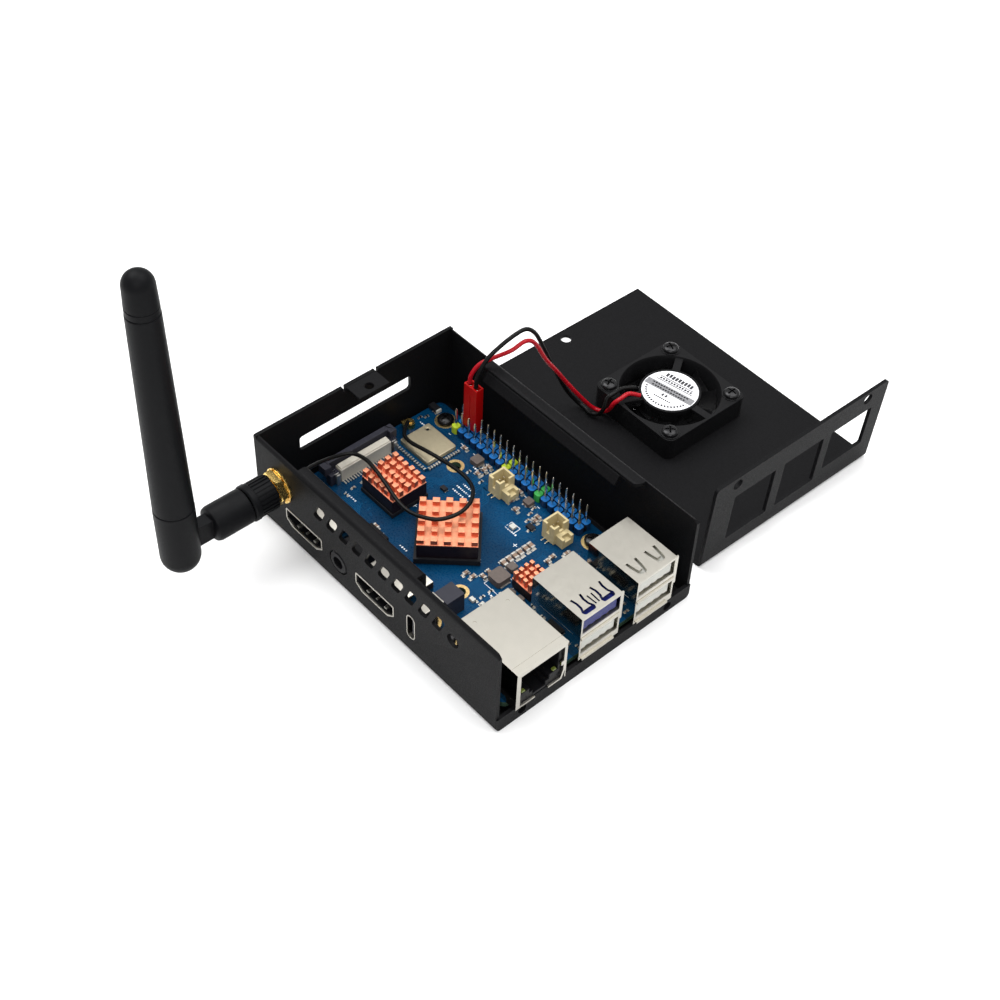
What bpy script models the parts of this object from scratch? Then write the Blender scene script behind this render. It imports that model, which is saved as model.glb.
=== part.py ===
"""A single board computer in an open sheet-metal tray, with its aerial, and its lid with a small fan lying
upside down beside it.

+X runs along the board from the cable slot to the network and USB sockets, +Y from the video sockets' wall to
the lid, +Z up. The origin is the centre of the tray's underside, on the surface that tray and lid both lie on. The
helpers take millimetres and build meshes in metres.
"""

import math

import bmesh
import bpy
from mathutils import Matrix, Vector

MM = 0.001
GAP = 0.3  # left between neighbouring pieces
SEGMENTS = 24  # sides of a round piece

# Tray, bent from one sheet
SHEET = 1.0
TRAY_LENGTH = 93.0
TRAY_WIDTH = 65.2
TRAY_HEIGHT = 28.2
NEAR_STRIP_HEIGHT = 4.6
WALL_CHAMFER = 1.6
LIP_WIDTH = 3.9
FRONT_DROP = (0.0, 5.9)  # how far a lip's bent end slopes inward, and how far it hangs down
BACK_DROP = (1.8, 3.2)
FRONT_LIP_X = (-29.3, 16.2)
BACK_LIP_X = (-28.8, 28.4)
BACK_DROP_X = (-27.0, 22.4)
CABLE_SLOT_Y = (-19.4, 17.6)
CABLE_SLOT_Z = (14.7, 19.4)
TAB_Y = (-4.0, 5.8)
TAB_REACH = 6.9
TAB_HOLE_RADIUS = 1.3
VENT_FIRST_X = -20.1
VENT_PITCH = 5.03
VENT_COUNT = 10
VENT_WIDTH = 3.2
VENT_Z = (18.2, 23.1)
VENT_LEAN = 2.2  # each slot's top stands this much nearer +X than its foot
PEEP_HOLE_X = 30.4
PEEP_HOLE_Z = 19.2
PEEP_HOLE_RADIUS = 2.0
END_HOLE_SPACING = 49.0
END_HOLE_RADIUS = 1.6
END_HOLE_Z = 2.3

# Board and what holds it
BOARD_CORNER = (-40.8, -28.5)  # board places below are counted from here
BOARD_OVERHANG = 3.6  # the board runs on past that corner, under the cable slot
BOARD_LENGTH = 85.0
BOARD_WIDTH = 56.0
BOARD_THICKNESS = 1.6
BOARD_TOP = 5.0
SEAT = BOARD_TOP + GAP  # underside of everything soldered on the board
SCREW_HOLES = ((3.3, 2.8), (61.4, 2.8), (3.3, 51.8), (61.4, 51.8))
SCREW_HOLE_RADIUS = 1.6
HEATSINK_HOLES = ((18.2, 42.6), (52.1, 14.9))
HEATSINK_HOLE_RADIUS = 1.5

# Pin header
PIN_PITCH = 2.54
PIN_COLUMNS = 20
PIN_WIDTH = 0.64
PIN_TOP = 13.7
HEADER_START = 7.1
HEADER_MIDDLE = 52.5
HEADER_HEIGHT = 2.5
PLUG_COLUMNS = (1, 2)
PLUG_DEPTH = 2.5
PLUG_TOP = 23.3

# Sockets along the near end
RJ45_END = 47.3
RJ45_MIDDLE = -19.5
RJ45_SIZE = (21.2, 16.0, 13.4)
USB_DEPTH = 17.2
USB_WIDTH = 13.3
USB_HEIGHT = 15.6
USB3_END = 46.1
USB3_MIDDLE = 0.5
USB2_END = 46.6
USB2_MIDDLE = 18.6
USB_WALL = 0.6
USB_MOUTH = (4.9, 11.9)  # height and width of each of the two mouths
USB_MOUTH_Z = (2.1, 9.6)
USB_MOUTH_DEPTH = 12.0

# Sockets along the front wall
PORT_FACE_Y = -31.2
HDMI_X = (-27.1, 1.2)
HDMI_SIZE = (15.4, 11.6, 6.4)
HDMI_MOUTH = (14.0, 4.6)
AUDIO_X = -13.1
AUDIO_Z = 8.7
AUDIO_RADIUS = 3.0
USB_C_X = 15.1
USB_C_Z = 9.8
USB_C_MOUTH = (2.6, 7.6)

# Aerial socket and aerial
SMA_X = -36.1
SMA_Z = 18.3
SMA_RADIUS = 3.0
COLLAR_Y = (-43.3, -35.9)
COLLAR_RADIUS = 4.95
ARM_RADIUS = 4.75
PIVOT_Y = -63.1
ARM_START = 8.9  # from the pivot
TONGUE_RADIUS = 3.1
TONGUE_THICKNESS = 3.6
BLADE_BOTTOM = 8.4  # below the pivot
HINGE_END_TOP = 13.2
HINGE_END_RADIUS = 5.1
SLEEVE_TOP = 73.3
TIP_RADIUS = 3.9
TIP_TOP = 84.4

# Lid, upside down on the table, and the fan on it
LID_CENTRE = (-2.6, 74.6)
LID_TURN = -1.0
LID_LENGTH = 90.2
LID_WIDTH = 64.6
FLANGE_HEIGHT = 29.6
FLANGE_LEAN = 2.5
FLANGE_HOLE_Z = 27.0
LID_HOLE_INSET = 3.4
FLANGE_WINDOWS = ((-24.4, -9.4, 6.2), (-6.0, 8.8, 6.2), (11.8, 27.6, 8.6))
FLANGE_WINDOW_TOP = 22.2
FAN_PLACE = (-2.1, 2.5)  # from the lid's centre
FAN_SIDE = 30.0
FAN_TOP = 8.0
FAN_CORNER_RADIUS = 2.2
FAN_BORE_RADIUS = 13.8
FAN_SCREW_SPACING = 24.0
FAN_HUB_RADIUS = 8.7
FAN_STRUT_ANGLES = (4.5, 124.5, 244.5)
FAN_BLADES = 9
GRILLE_SLOTS = 7

LEAD_DIAMETER = 1.2
COAX_DIAMETER = 1.1

COAX_ROUTE = (
    (-36.1, -26.6, 18.3), (-36.5, -23.6, 18.0), (-37.6, -19.0, 16.4), (-38.6, -13.0, 13.9), (-37.6, -8.8, 12.9),
    (-33.4, -7.8, 13.6), (-28.0, -8.6, 14.3), (-22.0, -9.9, 14.5), (-16.0, -11.2, 14.4), (-11.2, -11.3, 14.3),
    (-6.9, -9.6, 14.3), (-3.9, -6.7, 14.3), (-2.5, -2.0, 14.5), (-3.5, 2.4, 14.5), (-6.7, 6.1, 14.1),
    (-11.3, 8.1, 13.2), (-17.1, 8.8, 12.2), (-22.2, 8.8, 11.2), (-28.1, 8.4, 10.3), (-33.6, 8.0, 9.3),
    (-37.3, 8.7, 8.7), (-39.9, 11.1, 8.2), (-41.6, 13.4, 7.7),
)
RED_ROUTE = (
    (-29.8, 24.9, 23.7), (-29.8, 25.4, 26.2), (-29.0, 27.4, 29.2), (-27.0, 30.4, 31.2), (-24.2, 34.1, 33.6),
    (-23.2, 37.9, 35.3), (-22.8, 41.1, 33.2), (-21.3, 44.2, 26.6), (-20.3, 47.6, 21.2), (-19.9, 51.0, 15.7),
    (-18.7, 55.4, 8.8), (-17.6, 59.0, 3.6), (-15.8, 60.6, 2.2), (-13.4, 61.3, 3.1), (-11.5, 60.9, 6.0),
    (-10.6, 61.2, 8.3), (-9.8, 62.9, 9.6), (-9.6, 65.7, 9.8), (-7.9, 68.5, 8.7),
)
BLACK_ROUTE = (
    (-27.3, 24.9, 23.7), (-27.2, 25.2, 27.2), (-26.8, 27.8, 32.0), (-26.0, 31.7, 35.1), (-24.9, 36.0, 37.6),
    (-24.2, 39.2, 38.1), (-23.7, 42.1, 35.3), (-23.0, 44.6, 29.6), (-22.5, 47.8, 22.0), (-22.3, 51.2, 14.7),
    (-22.8, 55.3, 7.2), (-21.2, 58.0, 2.8), (-18.8, 58.7, 1.8), (-16.2, 58.2, 2.1), (-14.1, 59.0, 2.9),
    (-12.7, 59.5, 5.7), (-13.1, 61.0, 8.3), (-12.6, 62.8, 9.4), (-12.6, 66.0, 9.3), (-11.2, 70.0, 8.5),
)


# Helpers

def clear_scene():
    for obj in list(bpy.data.objects):
        bpy.data.objects.remove(obj, do_unlink=True)


def material(name, color, roughness, metallic=0.0):
    made = bpy.data.materials.new(name)
    made.use_nodes = True
    shader = made.node_tree.nodes["Principled BSDF"]
    shader.inputs["Base Color"].default_value = (*color, 1.0)
    shader.inputs["Roughness"].default_value = roughness
    shader.inputs["Metallic"].default_value = metallic
    return made


def box(low, high):
    shape = bmesh.new()
    size = Vector(high) - Vector(low)
    middle = (Vector(high) + Vector(low)) / 2
    bmesh.ops.create_cube(shape, size=1.0, matrix=Matrix.Translation(middle) @ Matrix.Diagonal((*size, 1.0)))
    return shape


def rounded(corners, radius, steps=3):
    """The closed outline through the corners, each rounded by an arc; radius is one value, or one each."""
    radii = radius if isinstance(radius, (list, tuple)) else [radius] * len(corners)
    outline = []
    for i, corner in enumerate(corners):
        here = Vector(corner)
        back = (Vector(corners[i - 1]) - here).normalized()
        ahead = (Vector(corners[(i + 1) % len(corners)]) - here).normalized()
        if radii[i] <= 0:
            outline.append(here)
            continue
        half = back.angle(ahead) / 2
        centre = here + (back + ahead).normalized() * (radii[i] / math.sin(half))
        first = (here + back * (radii[i] / math.tan(half)) - centre).normalized()
        last = (here + ahead * (radii[i] / math.tan(half)) - centre).normalized()
        for step in range(steps + 1):
            outline.append(centre + first.slerp(last, step / steps) * radii[i])
    return outline


def circle(centre, radius, sides=SEGMENTS):
    turns = [2 * math.pi * i / sides for i in range(sides)]
    return [Vector((centre[0] + radius * math.cos(t), centre[1] + radius * math.sin(t))) for t in turns]


def prism(outline, axis, start, end):
    """The outline extruded along an axis: its two numbers are Y and Z along x, X and Z along y, X and Y along z."""
    lift = {"x": lambda p, t: (t, p[0], p[1]), "y": lambda p, t: (p[0], t, p[1]), "z": lambda p, t: (p[0], p[1], t)}
    shape = bmesh.new()
    first = [shape.verts.new(lift[axis](point, start)) for point in outline]
    last = [shape.verts.new(lift[axis](point, end)) for point in outline]
    shape.faces.new(first)
    shape.faces.new(last)
    count = len(outline)
    for i in range(count):
        shape.faces.new((first[i], first[(i + 1) % count], last[(i + 1) % count], last[i]))
    bmesh.ops.recalc_face_normals(shape, faces=shape.faces)
    return shape


def turned(profile, sides=SEGMENTS):
    """The closed (radius, height) profile turned about Z; it may touch the axis."""
    shape = bmesh.new()
    rings = []
    for radius, height in profile:
        if radius == 0:
            rings.append([shape.verts.new((0, 0, height))] * sides)
            continue
        rings.append([shape.verts.new((p.x, p.y, height)) for p in circle((0, 0), radius, sides)])
    for low, high in zip(rings, rings[1:] + rings[:1]):
        for i in range(sides):
            corners = []
            for vert in (low[i], low[(i + 1) % sides], high[(i + 1) % sides], high[i]):
                if vert not in corners:
                    corners.append(vert)
            if len(corners) > 2:
                shape.faces.new(corners)
    bmesh.ops.recalc_face_normals(shape, faces=shape.faces)
    return shape


def stepped(xs, ys, bottom, height_at):
    """A closed block on a grid of cells whose tops lie at height_at(column, row)."""
    shape = bmesh.new()
    made = {}

    def vert(i, j, z):
        key = (i, j, round(z, 6))
        if key not in made:
            made[key] = shape.verts.new((xs[i], ys[j], z))
        return made[key]

    def height(i, j):
        inside = 0 <= i < len(xs) - 1 and 0 <= j < len(ys) - 1
        return height_at(i, j) if inside else bottom

    base = min(height_at(i, j) for i in range(len(xs) - 1) for j in range(len(ys) - 1))

    def wall(a, b, low, high):
        levels = [low] + ([base] if low < base < high else []) + [high]
        for lower, upper in zip(levels, levels[1:]):
            shape.faces.new((vert(*a, lower), vert(*b, lower), vert(*b, upper), vert(*a, upper)))

    for i in range(len(xs) - 1):
        for j in range(len(ys) - 1):
            top = height(i, j)
            shape.faces.new([vert(*c, top) for c in ((i, j), (i + 1, j), (i + 1, j + 1), (i, j + 1))])
            shape.faces.new([vert(*c, bottom) for c in ((i, j), (i, j + 1), (i + 1, j + 1), (i + 1, j))])
            sides = (((i, j), (i + 1, j), (i, j - 1)), ((i + 1, j), (i + 1, j + 1), (i + 1, j)),
                     ((i + 1, j + 1), (i, j + 1), (i, j + 1)), ((i, j + 1), (i, j), (i - 1, j)))
            for start, end, neighbour in sides:
                if height(*neighbour) < top - 1e-6:
                    wall(start, end, height(*neighbour), top)
    bmesh.ops.recalc_face_normals(shape, faces=shape.faces)
    return shape


def moved(shape, place=(0, 0, 0), turn=0.0, axis="Z"):
    bmesh.ops.transform(
        shape, matrix=Matrix.Translation(place) @ Matrix.Rotation(math.radians(turn), 4, axis), verts=shape.verts)
    return shape


def merged(shapes):
    whole = bmesh.new()
    for shape in shapes:
        mesh = bpy.data.meshes.new("piece")
        shape.to_mesh(mesh)
        whole.from_mesh(mesh)
        shape.free()
        bpy.data.meshes.remove(mesh)
    return whole


def add_object(name, shape, origin, parent):
    bmesh.ops.translate(shape, vec=-Vector(origin), verts=shape.verts)
    bmesh.ops.scale(shape, vec=(MM, MM, MM), verts=shape.verts)
    mesh = bpy.data.meshes.new(name)
    shape.to_mesh(mesh)
    shape.free()
    obj = bpy.data.objects.new(name, mesh)
    bpy.context.collection.objects.link(obj)
    obj.location = Vector(origin) * MM
    obj.parent = parent
    return obj


def piece(name, shape, finish, add=(), cut=(), spokes=(), origin=(0, 0, 0), parent=None):
    """One named solid: shape, with add joined on, then cut taken away, then spokes joined on across the cuts."""
    obj = add_object(name, shape, origin, parent)
    obj.data.materials.append(finish)
    steps = [("UNION", s) for s in add] + [("DIFFERENCE", s) for s in cut] + [("UNION", s) for s in spokes]
    for number, (operation, tool_shape) in enumerate(steps):
        tool = add_object(f"{name}_tool_{number}", tool_shape, origin, parent)
        tool.hide_render = True
        tool.display_type = "WIRE"
        modifier = obj.modifiers.new(f"shape_{number}", "BOOLEAN")
        modifier.object = tool
        modifier.operation = operation
        modifier.solver = "EXACT"
    obj.data.shade_smooth()
    obj.data.set_sharp_from_angle(angle=math.radians(35))
    return obj


def axis_empty(name, place, turn=0.0):
    empty = bpy.data.objects.new(name, None)
    bpy.context.collection.objects.link(empty)
    empty.location = Vector(place) * MM
    empty.rotation_euler = (0, 0, math.radians(turn))
    return empty


def smooth_route(points, spacing):
    """Points about spacing apart on the smooth curve through the route's own points."""
    ends = [points[0] * 2 - points[1], *points, points[-1] * 2 - points[-2]]
    path = []
    for a, b, c, d in zip(ends, ends[1:], ends[2:], ends[3:]):
        steps = max(1, round((c - b).length / spacing))
        for step in range(steps):
            t = step / steps
            path.append(((b * 2) + (c - a) * t + (a * 2 - b * 5 + c * 4 - d) * t**2
                         + (b * 3 - a - c * 3 + d) * t**3) / 2)
    return [*path, points[-1]]


def cord(name, route, diameter, finish):
    curve = bpy.data.curves.new(name, "CURVE")
    curve.dimensions = "3D"
    curve.bevel_depth = diameter / 2 * MM
    curve.bevel_resolution = 2
    curve.use_fill_caps = True
    path = smooth_route([Vector(point) for point in route], 2.8 * diameter)
    spline = curve.splines.new("POLY")
    spline.points.add(len(path) - 1)
    for spline_point, place in zip(spline.points, path):
        spline_point.co = (*(place * MM), 1.0)
    curve.materials.append(finish)
    obj = bpy.data.objects.new(name, curve)
    bpy.context.collection.objects.link(obj)
    return obj


def on_board(x, y):
    return BOARD_CORNER[0] + x, BOARD_CORNER[1] + y


def along_y(shape, x, z):
    """A shape turned about Z, laid so that its axis runs along -Y through (x, z)."""
    return moved(moved(shape, turn=90, axis="X"), place=(x, 0, z))


# Tray

def rail(sign, lip_x, drop_x, drop):
    """The inward lip along a wall's top edge, with its end bent down; sign is the wall's side along Y."""
    outer = TRAY_WIDTH / 2
    inner = outer - LIP_WIDTH
    lip = box((lip_x[0], min(sign * outer, sign * inner), TRAY_HEIGHT - SHEET),
              (lip_x[1], max(sign * outer, sign * inner), TRAY_HEIGHT))
    lean, depth = drop
    slope = math.hypot(lean, depth)
    across, rise = SHEET * depth / slope, SHEET * lean / slope
    foot, low = inner - lean, TRAY_HEIGHT - depth
    section = [(inner, TRAY_HEIGHT - 0.3), (foot, low), (foot + across, low - rise),
               (inner + SHEET + 0.3, TRAY_HEIGHT - SHEET / 2)]
    return [lip, prism([(sign * y, z) for y, z in section], "x", *drop_x)]


def side_wall(sign):
    """A long wall: its outline has a small chamfer at the near end's top."""
    half = TRAY_LENGTH / 2
    outline = [(-half, 0), (half, 0), (half, TRAY_HEIGHT - WALL_CHAMFER), (half - WALL_CHAMFER, TRAY_HEIGHT),
               (-half, TRAY_HEIGHT)]
    outer = sign * TRAY_WIDTH / 2
    inner = sign * (TRAY_WIDTH / 2 - SHEET)
    return prism(outline, "y", min(outer, inner), max(outer, inner))


def build_tray(finish):
    half_x = TRAY_LENGTH / 2
    half_y = TRAY_WIDTH / 2
    floor = box((-half_x, -half_y, 0), (half_x, half_y, SHEET))
    far_wall = box((-half_x, -half_y, 0), (-half_x + SHEET, half_y, TRAY_HEIGHT))
    strip = box((half_x - SHEET, -half_y, 0), (half_x, half_y, NEAR_STRIP_HEIGHT))
    tab = box((-half_x, TAB_Y[0], TRAY_HEIGHT - SHEET), (-half_x + TAB_REACH, TAB_Y[1], TRAY_HEIGHT))
    slot = box((-half_x - 1, CABLE_SLOT_Y[0], CABLE_SLOT_Z[0]), (-half_x + SHEET + 1, CABLE_SLOT_Y[1], CABLE_SLOT_Z[1]))
    tab_hole = prism(circle((-half_x + TAB_REACH - 2.0, sum(TAB_Y) / 2), TAB_HOLE_RADIUS), "z",
                     TRAY_HEIGHT - 2 * SHEET, TRAY_HEIGHT + 1)
    wall_span = (-half_y - 1, -half_y + SHEET + 1)
    openings = []
    for i in range(VENT_COUNT):
        foot = VENT_FIRST_X + i * VENT_PITCH - VENT_LEAN / 2
        head = foot + VENT_LEAN
        half = VENT_WIDTH / 2
        corners = ((foot - half, VENT_Z[0]), (foot + half, VENT_Z[0]), (head + half, VENT_Z[1]),
                   (head - half, VENT_Z[1]))
        openings.append(prism(rounded(corners, 0.8, 2), "y", *wall_span))
    openings.append(prism(circle((PEEP_HOLE_X, PEEP_HOLE_Z), PEEP_HOLE_RADIUS), "y", *wall_span))
    openings.append(prism(circle((SMA_X, SMA_Z), SMA_RADIUS + GAP), "y", *wall_span))
    openings.append(prism(circle((AUDIO_X, AUDIO_Z), AUDIO_RADIUS + 0.5), "y", *wall_span))
    for x in HDMI_X:
        openings.append(prism(hdmi_outline(x, HDMI_MOUTH[0] / 2 + 0.4, HDMI_MOUTH[1] / 2 + 0.4), "y", *wall_span))
    openings.append(prism(usb_c_outline(0.3), "y", *wall_span))
    ends = [prism(circle((side * END_HOLE_SPACING / 2, END_HOLE_Z), END_HOLE_RADIUS - 0.3), "x",
                  half_x - SHEET - 1, half_x + 1) for side in (-1, 1)]
    screws = [prism(circle(on_board(*place), SCREW_HOLE_RADIUS), "z", -1, SHEET + 1) for place in SCREW_HOLES]
    lips = rail(-1, FRONT_LIP_X, FRONT_LIP_X, FRONT_DROP) + rail(1, BACK_LIP_X, BACK_DROP_X, BACK_DROP)
    return piece("tray", floor, finish, add=[side_wall(-1), side_wall(1), far_wall, strip, tab, *lips],
                 cut=[merged([slot, tab_hole, *openings, *ends, *screws])])


def hdmi_outline(x, half_width, half_height):
    """The video socket's outline: a flat rectangle with its two lower corners drawn in."""
    middle = BOARD_TOP + HDMI_SIZE[2] / 2 + 0.4
    inset = half_width - 2.4
    return [(x - half_width, middle + half_height), (x + half_width, middle + half_height),
            (x + half_width, middle - half_height * 0.35), (x + inset, middle - half_height),
            (x - inset, middle - half_height), (x - half_width, middle - half_height * 0.35)]


def usb_c_outline(margin):
    half_x = USB_C_MOUTH[0] / 2 + margin
    half_z = USB_C_MOUTH[1] / 2 + margin
    corners = ((USB_C_X - half_x, USB_C_Z - half_z), (USB_C_X + half_x, USB_C_Z - half_z),
               (USB_C_X + half_x, USB_C_Z + half_z), (USB_C_X - half_x, USB_C_Z + half_z))
    return rounded(corners, half_x * 0.95)


# Board, its standoffs and screws

def build_board(finishes):
    left, front = BOARD_CORNER
    outline = rounded([(left - BOARD_OVERHANG, front), (left + BOARD_LENGTH, front),
                       (left + BOARD_LENGTH, front + BOARD_WIDTH), (left - BOARD_OVERHANG, front + BOARD_WIDTH)], 2.0)
    bottom = BOARD_TOP - BOARD_THICKNESS
    holes = [prism(circle(on_board(*place), SCREW_HOLE_RADIUS), "z", bottom - 1, BOARD_TOP + 1)
             for place in SCREW_HOLES]
    holes += [prism(circle(on_board(*place), HEATSINK_HOLE_RADIUS), "z", bottom - 1, BOARD_TOP + 1)
              for place in HEATSINK_HOLES]
    piece("pcb", prism(outline, "z", bottom, BOARD_TOP), finishes["board"], cut=[merged(holes)])
    for number, place in enumerate(SCREW_HOLES, 1):
        x, y = on_board(*place)
        spacer = prism(circle((x, y), 2.6, 6), "z", SHEET + GAP, bottom - GAP)
        piece(f"standoff_{number}", spacer, finishes["brass"],
              cut=[prism(circle((x, y), SCREW_HOLE_RADIUS), "z", 0, BOARD_TOP)])
        head = [(0, SHEET / 2), (SCREW_HOLE_RADIUS - GAP, SHEET / 2), (SCREW_HOLE_RADIUS - GAP, SEAT), (2.7, SEAT),
                (2.7, SEAT + 0.7), (2.0, SEAT + 1.3), (0, SEAT + 1.5)]
        piece(f"board_screw_{number}", moved(turned(head, 16), place=(x, y, 0)), finishes["black steel"])


# Pin header and the fan's plug

def build_header(finishes):
    left, _ = on_board(HEADER_START, 0)
    middle = on_board(0, HEADER_MIDDLE)[1]

    def edges(start, count):
        marks = [start]
        for i in range(count):
            centre = start + (i + 0.5) * PIN_PITCH
            marks += [centre - PIN_WIDTH / 2, centre + PIN_WIDTH / 2]
        return [*marks, start + count * PIN_PITCH]

    top = SEAT + HEADER_HEIGHT
    block = stepped(edges(left, PIN_COLUMNS), edges(middle - PIN_PITCH, 2), SEAT,
                    lambda i, j: PIN_TOP if i % 2 and j % 2 else top)
    piece("gpio_header", block, finishes["header blue"])
    low = (left + PLUG_COLUMNS[0] * PIN_PITCH + 0.05, middle + 0.05, top + GAP)
    high = (left + (PLUG_COLUMNS[1] + 1) * PIN_PITCH - 0.05, middle + 0.05 + PLUG_DEPTH, PLUG_TOP)
    sockets = []
    for column in PLUG_COLUMNS:
        x = left + (column + 0.5) * PIN_PITCH
        y = middle + PIN_PITCH / 2
        reach = PIN_WIDTH / 2 + GAP
        sockets.append(box((x - reach, y - reach, top), (x + reach, y + reach, PIN_TOP + GAP)))
    piece("fan_plug", box(low, high), finishes["red plastic"], cut=[merged(sockets)])


# Sockets along the near end

def build_rj45(finishes):
    depth, width, height = RJ45_SIZE
    shell = box((RJ45_END - depth, RJ45_MIDDLE - width / 2, SEAT),
                (RJ45_END, RJ45_MIDDLE + width / 2, BOARD_TOP + height))
    mouth = box((RJ45_END - 14, RJ45_MIDDLE - 6.4, SEAT + 2.7), (RJ45_END + 1, RJ45_MIDDLE + 6.4, SEAT + 11.7))
    latch = box((RJ45_END - 9, RJ45_MIDDLE - 3.0, SEAT + 0.8), (RJ45_END + 1, RJ45_MIDDLE + 3.0, SEAT + 3.0))
    piece("rj45_jack", shell, finishes["tin"], cut=[mouth, latch])


def build_usb_stack(name, end, middle, finishes, tongue_finishes):
    half = USB_WIDTH / 2
    shell = box((end - USB_DEPTH, middle - half, SEAT), (end, middle + half, BOARD_TOP + USB_HEIGHT))
    mouth_height, mouth_width = USB_MOUTH
    mouths = []
    for level, low, tongue_finish in zip(("lower", "upper"), USB_MOUTH_Z, tongue_finishes):
        bottom = SEAT + low
        mouths.append(box((end - USB_MOUTH_DEPTH, middle - mouth_width / 2, bottom),
                          (end + 1, middle + mouth_width / 2, bottom + mouth_height)))
        tongue = box((end - USB_MOUTH_DEPTH + GAP, middle - 5.4, bottom + 0.7),
                     (end - 1.0, middle + 5.4, bottom + 4.3))
        piece(f"{name}_{level}_tongue", tongue, tongue_finish)
    piece(f"{name}_stack", shell, finishes["tin"], cut=[merged(mouths)])


# Sockets along the front wall

def build_front_ports(finishes):
    for number, x in enumerate(HDMI_X, 1):
        width, depth, height = HDMI_SIZE
        body = box((x - width / 2, PORT_FACE_Y, SEAT), (x + width / 2, PORT_FACE_Y + depth, SEAT + height))
        mouth = prism(hdmi_outline(x, HDMI_MOUTH[0] / 2, HDMI_MOUTH[1] / 2), "y", PORT_FACE_Y - 1, PORT_FACE_Y + 9)
        piece(f"hdmi_port_{number}", body, finishes["tin"], cut=[mouth])
    jack = box((AUDIO_X - 3.4, PORT_FACE_Y + GAP, SEAT), (AUDIO_X + 3.4, PORT_FACE_Y + 12, SEAT + 6.0))
    nose = prism(circle((AUDIO_X, AUDIO_Z), AUDIO_RADIUS), "y", PORT_FACE_Y - 1.0, PORT_FACE_Y + 2)
    bore = prism(circle((AUDIO_X, AUDIO_Z), 1.8), "y", PORT_FACE_Y - 2.0, PORT_FACE_Y + 9)
    piece("audio_jack", jack, finishes["black plastic"], add=[nose], cut=[bore])
    body = box((USB_C_X - 2.1, PORT_FACE_Y, SEAT), (USB_C_X + 2.1, PORT_FACE_Y + 7.4, USB_C_Z + 4.6))
    mouth = prism(usb_c_outline(0), "y", PORT_FACE_Y - 1, PORT_FACE_Y + 6)
    piece("usb_c_port", body, finishes["black plastic"], cut=[mouth])


# Chips and heat sinks

def heat_sink(name, size, pins, pin_width, place, turn, chip_height, heights, finishes):
    """A square-pinned heat sink standing on its chip; heights are the base's top and the pins' top."""
    def edges(length, count):
        pitch = (length - pin_width) / (count - 1)
        marks = []
        for i in range(count):
            marks += [-length / 2 + i * pitch, -length / 2 + i * pitch + pin_width]
        return marks

    bottom = SEAT + chip_height + GAP
    block = stepped(edges(size[0], pins[0]), edges(size[1], pins[1]), bottom,
                    lambda i, j: heights[1] if i % 2 == 0 and j % 2 == 0 else heights[0])
    x, y = on_board(*place)
    piece(name, moved(block, place=(x, y, 0), turn=turn), finishes["copper"])


def chip(name, size, place, finish, turn=0.0, height=1.2):
    x, y = on_board(*place)
    body = box((-size[0] / 2, -size[1] / 2, SEAT), (size[0] / 2, size[1] / 2, SEAT + height))
    piece(name, moved(body, place=(x, y, 0), turn=turn), finish)


def build_chips(finishes):
    chip("soc_chip", (17.0, 17.0), (37.1, 23.9), finishes["chip"], turn=47, height=1.6)
    heat_sink("heatsink_large", (15.6, 15.6), (5, 5), 1.4, (37.1, 23.9), 47, 1.6, (11.5, 13.0), finishes)
    chip("ram_chip", (13.0, 12.0), (15.8, 23.6), finishes["chip"], height=1.2)
    heat_sink("heatsink_medium", (12.6, 11.4), (6, 5), 1.3, (15.8, 23.6), 0, 1.2, (11.2, 13.0), finishes)
    chip("usb_hub_chip", (6.4, 6.4), (62.7, 29.0), finishes["chip"], turn=0, height=1.0)
    heat_sink("heatsink_small", (6.8, 6.8), (4, 4), 1.0, (62.7, 29.0), 0, 1.0, (8.8, 11.4), finishes)
    chip("power_chip", (5.4, 5.4), (56.8, 24.4), finishes["chip"], height=1.0)
    chip("wifi_module", (11.6, 10.2), (8.4, 41.3), finishes["can"], height=1.9)


# Small connectors on the board

def build_small_connectors(finishes):
    for number, x in enumerate((34.2, 54.9), 1):
        left, front = on_board(x - 3.6, 43.2)
        body = box((left, front, SEAT), (left + 4.4, front + 5.3, SEAT + 5.6))
        foot = box((left + 4.0, front + 0.7, SEAT), (left + 7.0, front + 4.6, SEAT + 3.0))
        well = box((left + 0.7, front + 0.7, SEAT + 1.2), (left + 3.7, front + 4.6, SEAT + 6.5))
        piece(f"lead_socket_{number}", body, finishes["cream plastic"], add=[foot], cut=[well])
    left, front = on_board(1.0, 12.6)
    body = box((left, front, SEAT), (left + 3.4, front + 22.4, SEAT + 4.6))
    well = box((left + 0.5, front + 1.5, SEAT + 1.0), (left + 1.3, front + 20.9, SEAT + 5.5))
    piece("fpc_socket", body, finishes["grey plastic"], cut=[well])
    latch_left = left - GAP - 1.8
    latch = box((latch_left, front - 0.8, SEAT + 1.6), (latch_left + 1.8, front + 23.2, SEAT + 5.7))
    bottom = (latch_left + 0.9, front + 11.2, SEAT + 1.6)
    piece("fpc_latch", latch, finishes["black plastic"], origin=bottom)
    x, y = COAX_ROUTE[-1][:2]
    plug = [(0, SEAT), (1.5, SEAT), (1.5, SEAT + 1.2), (1.1, SEAT + 1.8), (0, SEAT + 1.8)]
    piece("coax_plug", moved(turned(plug, 16), place=(x - 0.6, y + 1.1, 0)), finishes["brass"])


# Aerial socket and aerial

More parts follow.
